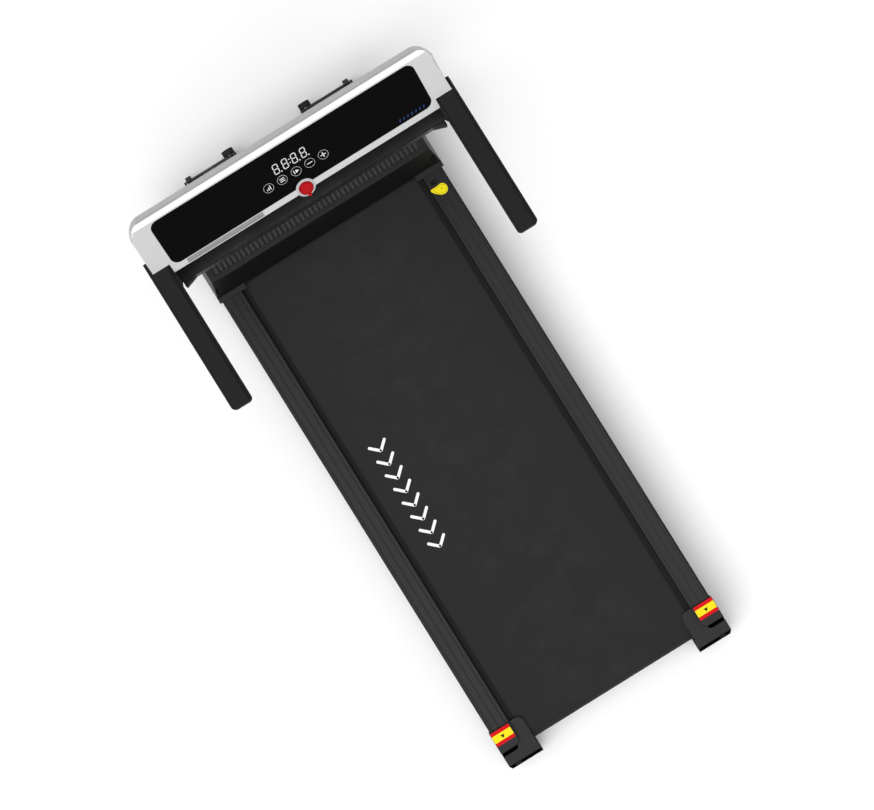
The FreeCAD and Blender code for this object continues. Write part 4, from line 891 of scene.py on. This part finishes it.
# %% Touch symbols
ICON_ROW = 0.0499
ICON_R = 0.0098
ICON_X = (-0.0577, -0.0290, 0.0003, 0.0288, 0.0573)
STROKE = 0.0016
marks = [hoop(x, ICON_ROW, ICON_R, 0.00042) for x in ICON_X]
program, mode, start, less, more = ICON_X
for i, tall in enumerate((0.0036, 0.0064, 0.0092)):
    marks.append(bar(program + (i - 1) * 0.0034, ICON_ROW - 0.0046 + tall / 2, STROKE, tall))
for i in (-1, 0, 1):
    marks.append(bar(mode, ICON_ROW + i * 0.0034, 0.0098, STROKE * 0.8))
marks.append(bar(start - 0.0040, ICON_ROW, STROKE, 0.0086))
marks.append(wedge(start + 0.0014, ICON_ROW, 0.0044, -math.pi / 2))
marks.append(bar(less, ICON_ROW, 0.0108, STROKE))
marks.append(bar(more, ICON_ROW, 0.0108, STROKE))
marks.append(bar(more, ICON_ROW, STROKE, 0.0108))
symbols = placed(joined(marks, "touch_symbols"), ON_FACE)
fitted(symbols, "touch_symbols", "base", INKS["lit"])
print("symbols:", len(symbols.data.polygons), "faces")

# %% [markdown]
# ### The phone ledge
#
# A long shallow groove in the silver lip holds a phone. A grey rubber mat lines it. It is one
# rounded bar whose top is inset and pressed down, which leaves a thin raised edge.

# %% Grey mat in the phone ledge
MAT_X, MAT_S = (-0.2490, -0.0900), (0.0034, 0.0126)
LEDGE_DEEP = 0.0030
mat = bar(sum(MAT_X) / 2, sum(MAT_S) / 2, MAT_X[1] - MAT_X[0], MAT_S[1] - MAT_S[0], 0.0008,
          round_by=0.0043, lift=-LEDGE_DEEP)
pick(mat, "faces", looks_up)
inset(0.0010)
pull(z=-0.0004)
done()
placed(mat, ON_FACE)
fitted(mat, "phone_mat", "base", finishes["grey_rubber"])
print("phone mat:", len(mat.data.polygons), "faces")

# %% [markdown]
# ### A small blue line
#
# Low on the right the lens carries a small blue print. Here it is a plain row of slanted
# dashes that says nothing.

# %% Blue dashes on the lens
DASH_X, DASH_S = (0.207, 0.257), 0.0235
DASH_WIDE, DASH_TALL, DASH_TURN = 0.0012, 0.0060, -0.45
DASHES = 7
marks = []
for i in range(DASHES):
    x = DASH_X[0] + (DASH_X[1] - DASH_X[0]) * i / (DASHES - 1)
    marks.append(bar(x, DASH_S, DASH_WIDE, DASH_TALL, turn=DASH_TURN))
dashes = placed(joined(marks, "lens_dashes"), ON_FACE)
# The dashes carry the blue ink's painted glow.
fitted(dashes, "lens_dashes", "base", INKS["blue"])
print("dashes:", DASHES)

# %% [markdown]
# ### The safety key
#
# The stop key is a red disc that a hand pulls out of its white ring. Its top is dished inside
# a raised rim, and a small lug with an eye takes a cord. A cylinder's top is
# inset and pressed in, its middle is raised again, and a bevel rounds its edges.

# %% Safety key
key_low, key_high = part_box("safety_key")
KEY_R = (key_high.x - key_low.x) / 2
KEY_S = 0.0082
KEY_TOP, KEY_FOOT = 0.0045, -0.0045
bpy.ops.mesh.primitive_cylinder_add(radius=KEY_R, depth=KEY_TOP - KEY_FOOT, vertices=64,
                                    location=(0, 0, (KEY_TOP + KEY_FOOT) / 2))
key = placed(bpy.context.active_object)
KEY_RIM_WIDE, KEY_DISH_DEEP = 0.0022, 0.0012
pick(key, "faces", looks_up)
inset(KEY_RIM_WIDE)
pull(z=-KEY_DISH_DEEP)
inset(0.0016)
inset(0.0010)
pull(z=0.0007)
inset(0.0030)
bpy.ops.transform.translate(value=(0, 0, 0.0003))
done()
rounded_off(key, 0.0005, 3, 30)
lug = bar(0, -KEY_R - 0.0022, 0.0070, 0.0085, thick=0.0014, round_by=0.003, lift=0.0018)
bpy.ops.mesh.primitive_torus_add(major_radius=0.0022, minor_radius=0.0007, major_segments=24,
                                 minor_segments=8, location=(0, -KEY_R - 0.0034, 0.0031))
eye = placed(bpy.context.active_object)
key = joined([key, lug, eye], "safety_key_shell")
placed(key, ON_FACE @ Matrix.Translation((0, KEY_S, 0)))
smooth(key, 40)
fitted(key, "safety_key_shell", "safety_key", finishes["red_plastic"])
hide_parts("safety_key")
LINE_WIDE = 0.0009
# Painted shade: a dark red ring along the key's rim.
rim_line = placed(hoop(0, KEY_S, KEY_R * 0.96, LINE_WIDE, KEY_TOP - FILM / 2), ON_FACE)
fitted(rim_line, "key_rim_line", "safety_key", INKS["dark red"])
SOCKET_R, SOCKET_TOP = 0.0169, 0.0015
# Painted shade: a grey ring in the groove between the key and its socket.
socket_line = placed(hoop(0, KEY_S, SOCKET_R, LINE_WIDE, SOCKET_TOP - FILM / 2), ON_FACE)
fitted(socket_line, "key_socket_line", "base", INKS["grey"])
print("key radius", round(KEY_R * 1000, 1), "mm,", len(key.data.polygons), "faces")

# %% [markdown]
# ## Printed films on the deck
#
# Three films are stuck to the deck: a yellow drop where oil goes in, and a red and yellow band
# on each rear cap. On the belt there is a long white print. The belt's print is a row of plain
# chevrons that point the way the belt is walked, and the bands carry only a small black
# triangle.

# %% Oil drop
DROP = Vector((0.2464, 0.3994))
DROP_R = 0.0119
DROP_TIP = Vector((-0.0233, 0.0082))
DROP_CURL = 0.0015
rail_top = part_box("side_rail_right")[1].z


def drop_film(name, radius, lift, thick, finish, hollow=0.0):
    """A disc whose far edge is drawn out to a tip."""
    film = disc(0, 0, radius, thick, 48)
    reach = DROP_TIP.length
    along = DROP_TIP.normalized()
    aside = Vector((-along.y, along.x))
    for vertex in film.data.vertices:
        ahead = vertex.co.xy.normalized().dot(along)
        if ahead > 0.35:
            share = ((ahead - 0.35) / 0.65) ** 3
            vertex.co.xy += along * (reach - DROP_R) * share * radius / DROP_R
        run = min(max(vertex.co.xy.dot(along) / reach, 0.0), 1.0)
        vertex.co.xy += aside * DROP_CURL * 4 * run * (1 - run)
    if hollow:
        pick(film, "faces", is_flat)
        inset(hollow)
        bpy.ops.mesh.bridge_edge_loops()
        done()
    film.location = (DROP.x, DROP.y, rail_top + lift)
    fitted(placed(film), name, "deck", finish)


drop_film("oil_drop", DROP_R, 0.00005, 0.0003, INKS["yellow"])
drop_film("oil_drop_line", DROP_R * 0.78, 0.00012, 0.0003, INKS["black"], hollow=0.0004)
SPOT_R = 0.0012
spot = disc(DROP.x, DROP.y + SPOT_R, SPOT_R, 2 * FILM, 24, lift=rail_top)
fitted(spot, "oil_drop_spot", "deck", INKS["dark red"])
print("drop at", tuple(DROP))

# %% Bands on the rear caps
BAND_ROWS = ((-0.6210, -0.6288, "red"), (-0.6288, -0.6445, "yellow"), (-0.6445, -0.6520, "red"))
BAND_INNER, BAND_MARGIN = 0.2262, 0.0016
MARK_Y, MARK_R = -0.6370, 0.0052
cap_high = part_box("rear_cap_right")[1]
for side, name in SIDES:
    middle = side * (BAND_INNER + cap_high.x) / 2
    wide = cap_high.x - BAND_INNER - BAND_MARGIN
    for row, (front, rear, colour) in enumerate(BAND_ROWS):
        band = bar(middle, (front + rear) / 2, wide, front - rear, lift=cap_high.z)
        fitted(band, f"cap_band_{name}_{row}", "deck", INKS[colour])
    mark = wedge(middle, MARK_Y, MARK_R, math.pi, 2 * FILM, cap_high.z)
    fitted(mark, f"cap_mark_{name}", "deck", INKS["black"])
print("bands on both caps")

# %% Chevrons on the belt
CHEVRONS = 8
CHEVRON_X = -0.152
CHEVRON_Y = (0.010, -0.225)
ARM_LONG, ARM_WIDE, ARM_ROUND = 0.030, 0.0062, 0.0028
ARM_SPREAD, ARM_TURN = 0.32, 0.75
belt_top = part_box("running_belt")[1].z
marks = []
for i in range(CHEVRONS):
    y = CHEVRON_Y[0] + (CHEVRON_Y[1] - CHEVRON_Y[0]) * i / (CHEVRONS - 1)
    for side in (-1, 1):
        marks.append(bar(CHEVRON_X + side * ARM_LONG * ARM_SPREAD, y, ARM_LONG, ARM_WIDE,
                         round_by=ARM_ROUND, turn=side * ARM_TURN, lift=belt_top))
chevrons = joined(marks, "belt_chevrons")
fitted(chevrons, "belt_chevrons", "deck", INKS["white"])
print("chevrons:", CHEVRONS)

# %% [markdown]
# ## Vent, grooves and fittings
#
# A dark foam mat sits below the vent's slots and keeps dust out of the motor. Each rib stands a
# little proud and is rounded, which is what makes the row read as light bars. A thin near-black
# strip in the groove at the back of each rear cap's block is painted shadow.

# %% Vent ribs and the filter under them
vent_low, vent_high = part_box("hood_vent")
VENT_RIBS = 46
VENT_BORDER = 0.004
RIB_SHARE = 0.62
pitch = (vent_high.x - vent_low.x - 2 * VENT_BORDER) / VENT_RIBS
rib = bar(0, 0, pitch * RIB_SHARE, vent_high.y - vent_low.y - 0.012, 0.0012)
pick(rib, "edges", is_high)
bpy.ops.mesh.bevel(offset=0.0007, segments=3)
done()
ribs = [rib]
for i in range(1, VENT_RIBS - 1):
    only(rib)
    bpy.ops.object.duplicate()
    copy = bpy.context.active_object
    copy.location.x = pitch * i
    ribs.append(placed(copy))
rib_row = joined(ribs, "vent_ribs")
first_x = vent_low.x + VENT_BORDER + pitch
placed(rib_row, Matrix.Translation((first_x, (vent_low.y + vent_high.y) / 2, vent_high.z - 0.0002)))
smooth(rib_row, 50)
fitted(rib_row, "vent_ribs", "deck", finishes["rib_plastic"])
filter_mat = bar(0, (vent_low.y + vent_high.y) / 2, vent_high.x - vent_low.x - 0.006,
                 vent_high.y - vent_low.y - 0.008, 0.001, lift=vent_low.z - 0.0012)
fitted(filter_mat, "vent_filter", "deck", finishes["filter_foam"])
print("ribs:", len(ribs), "pitch", round(pitch * 1000, 2), "mm")

# %% Painted shadow strips in the caps' grooves
GROOVE_Y = (-0.6775, -0.6695)
GROOVE_FLOOR = 0.1440
STRIP_X, STRIP_WIDE, STRIP_THICK = 0.2530, 0.0380, 0.0020
# Each strip is painted shadow: a near-black sheet laid where the groove is in shade.
for side, name in SIDES:
    strip = bar(side * STRIP_X, sum(GROOVE_Y) / 2, STRIP_WIDE, GROOVE_Y[1] - GROOVE_Y[0], STRIP_THICK,
                round_by=0.0030, lift=GROOVE_FLOOR)
    fitted(strip, f"cap_strip_{name}", "deck", INKS["shade"])
print("strips in place")

# %% Oil port cap
# A black cap with six finger lobes closes the port: a cylinder whose rim is pushed out and in.
LOBES = 6
port_low, port_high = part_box("oil_port_plug")
port_x, port_y = (port_low.x + port_high.x) / 2, (port_low.y + port_high.y) / 2
port_r = (port_high.x - port_low.x) / 2
cap = disc(0, 0, port_r, 0.0030, 72)
for vertex in cap.data.vertices:
    turn = math.atan2(vertex.co.y, vertex.co.x)
    vertex.co.xy *= 0.90 + 0.12 * math.cos(LOBES * turn)
pick(cap, "faces", looks_up)
inset(0.0012)
inset(0.0008)
bpy.ops.transform.translate(value=(0, 0, -0.0006))
done()
smooth(placed(cap, Matrix.Translation((port_x, port_y, port_high.z - 0.0012))), 40)
fitted(cap, "oil_port_cap", "deck", INKS["black"])
print("oil port radius", round(port_r * 1000, 1), "mm")

# %% [markdown]
# ### Welds, tube plugs and screws
#
# The frame is welded from steel tube. A weld bead is a rounded, slightly rippled fillet where
# two tubes meet, and it hides the sharp joint. Open tube ends are closed with black plugs.
# Small cross-head screws sit in the tube under the console and in the sides of the rear caps.
# A function makes each kind, and is called again wherever that kind repeats.


# %% Weld beads
BEAD_R, RIPPLES, RIPPLE_DEPTH = 0.0022, 57.0, 0.16
UPRIGHT_FOOT = (0.3015, 0.634)
UPRIGHT_WIDE, UPRIGHT_DEEP = 0.0370, 0.0550


def bead(name, centre):
    """A rippled roll of weld around an upright's foot, in the XY plane at one height."""
    bpy.ops.mesh.primitive_torus_add(major_radius=1.0, minor_radius=BEAD_R, major_segments=160,
                                     minor_segments=8)
    roll = bpy.context.active_object
    for vertex in roll.data.vertices:
        x, y, z = vertex.co
        turn = math.atan2(y, x)
        out = math.hypot(x, y) - 1.0
        reach = 0.5 / max(abs(math.cos(turn)) / UPRIGHT_WIDE, abs(math.sin(turn)) / UPRIGHT_DEEP)
        ripple = 1.0 + RIPPLE_DEPTH * math.sin(turn * RIPPLES)
        px, py = math.cos(turn) * reach, math.sin(turn) * reach
        vertex.co = (px + math.cos(turn) * out * ripple, py + math.sin(turn) * out * ripple, z * ripple)
    placed(roll, Matrix.Translation(centre))
    smooth(roll, 60)
    fitted(roll, name, "base", finishes["frame_steel"])


base_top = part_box("front_cross_tube")[1].z
for side, name in SIDES:
    bead(f"weld_foot_{name}", (side * UPRIGHT_FOOT[0], UPRIGHT_FOOT[1], base_top + 0.0006))
print("welds at the uprights' feet")


# %% Plugs in the open tube ends
def tube_plug(name, centre, wide, tall, axis):
    """A plug with a domed head and rounded corners. Its face looks along axis."""
    plug = bar(0, 0, wide, tall, 0.0030, round_by=0.0040)
    pick(plug, "faces", looks_up)
    inset(0.0030)
    bpy.ops.transform.translate(value=(0, 0, 0.0004))
    inset(0.0025)
    pull(z=-0.0012)
    done()
    turn = Vector((0, 0, 1)).rotation_difference(Vector(axis)).to_matrix().to_4x4()
    placed(plug, Matrix.Translation(centre) @ turn)
    smooth(plug, 30)
    fitted(plug, name, "base", finishes["black_plastic"])


front_low, front_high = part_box("front_cross_tube")
floor_low, floor_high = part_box("floor_tubes")
FLOOR_TUBE_WIDE, FLOOR_TUBE_TALL = 0.0400, 0.0300
PLUG_DEPTH, PLUG_FIT = 0.0016, 0.006
front_middle, front_size = (front_low + front_high) / 2, front_high - front_low
floor_x = floor_high.x - FLOOR_TUBE_WIDE / 2
floor_z = floor_high.z - FLOOR_TUBE_TALL / 2
for side, name in SIDES:
    tube_plug(f"front_plug_{name}", (side * (front_high.x - PLUG_DEPTH), front_middle.y, front_middle.z),
              front_size.z - PLUG_FIT, front_size.y - PLUG_FIT, (side, 0, 0))
    tube_plug(f"floor_plug_{name}", (side * floor_x, floor_low.y + PLUG_DEPTH, floor_z),
              FLOOR_TUBE_WIDE - PLUG_FIT, FLOOR_TUBE_TALL - PLUG_FIT, (0, -1, 0))
print("plugs in the front tube and the floor tubes")


# %% Cross-head screws
SCREW_R, SCREW_TALL = 0.0032, 0.0016
CROSS_LONG, CROSS_WIDE, CROSS_THICK = 0.0036, 0.0008, 0.0001


def screw_head(x, y):
    """A pan head: a disc with its upper rim rounded."""
    head = disc(x, y, SCREW_R, SCREW_TALL, 24)
    pick(head, "edges", is_high)
    bpy.ops.mesh.bevel(offset=0.0009, segments=3)
    done()
    return head


def cross_recess_shade(x, y):
    """Painted shade in the shape of a screw's cross recess, laid just above its head."""
    return [bar(x, y, CROSS_LONG, CROSS_WIDE, CROSS_THICK, lift=SCREW_TALL),
            bar(x, y, CROSS_WIDE, CROSS_LONG, CROSS_THICK, lift=SCREW_TALL)]


def screws(name, spots, matrix, body):
    heads = joined([screw_head(x, y) for x, y in spots], name)
    placed(heads, matrix)
    smooth(heads, 40)
    fitted(heads, name, body, finishes["black_oxide"])
    slots = joined([piece for x, y in spots for piece in cross_recess_shade(x, y)], name + "_slots")
    placed(slots, matrix)
    fitted(slots, name + "_slots", body, INKS["black"])


TIE_SCREWS = [(x, 0.0) for x in (-0.24, -0.08, 0.08, 0.24)]
tie_low, tie_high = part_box("console_cross_tube")
tie_front = Matrix.Translation((0, tie_high.y, (tie_low.z + tie_high.z) / 2))
screws("tie_screws", TIE_SCREWS, tie_front @ Matrix.Rotation(-math.pi / 2, 4, "X"), "base")
CAP_SCREWS = [(0.0, -0.645), (0.0, -0.690)]
CAP_SCREW_Z = 0.100
for side, name in SIDES:
    outer_face = Matrix.Translation((side * cap_high.x, 0, CAP_SCREW_Z))
    screws(f"cap_screws_{name}", CAP_SCREWS, outer_face @ Matrix.Rotation(side * math.pi / 2, 4, "Y"), "deck")
print("screws in place")

# %% [markdown]
# ### Front feet
#
# Two round rubber feet sit on the front brackets. Each is a cylinder whose back face is
# inset and pressed in, with its rims rounded.

# %% Front feet with a pressed back
foot_low, foot_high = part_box("storage_feet")
FOOT_R = (foot_high.z - foot_low.z) / 2
FOOT_LONG = foot_high.y - foot_low.y
feet = []
for x in (foot_low.x + FOOT_R, foot_high.x - FOOT_R):
    bpy.ops.mesh.primitive_cylinder_add(radius=FOOT_R, depth=FOOT_LONG, vertices=48)
    foot = placed(bpy.context.active_object)
    pick(foot, "faces", lambda mesh, f: f.normal.z < -0.9)
    inset(0.0035)
    pull(z=0.0015)
    done()
    rounded_off(foot, 0.0030, 4, 50)
    foot.rotation_euler = (-math.pi / 2, 0, 0)
    foot.location = (x, (foot_low.y + foot_high.y) / 2, foot_low.z + FOOT_R)
    feet.append(placed(foot))
feet = smooth(joined(feet, "front_feet"), 40)
fitted(feet, "front_feet", "base", finishes["soft_rubber"])
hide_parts("storage_feet")
print("feet radius", round(FOOT_R * 1000, 2), "mm")
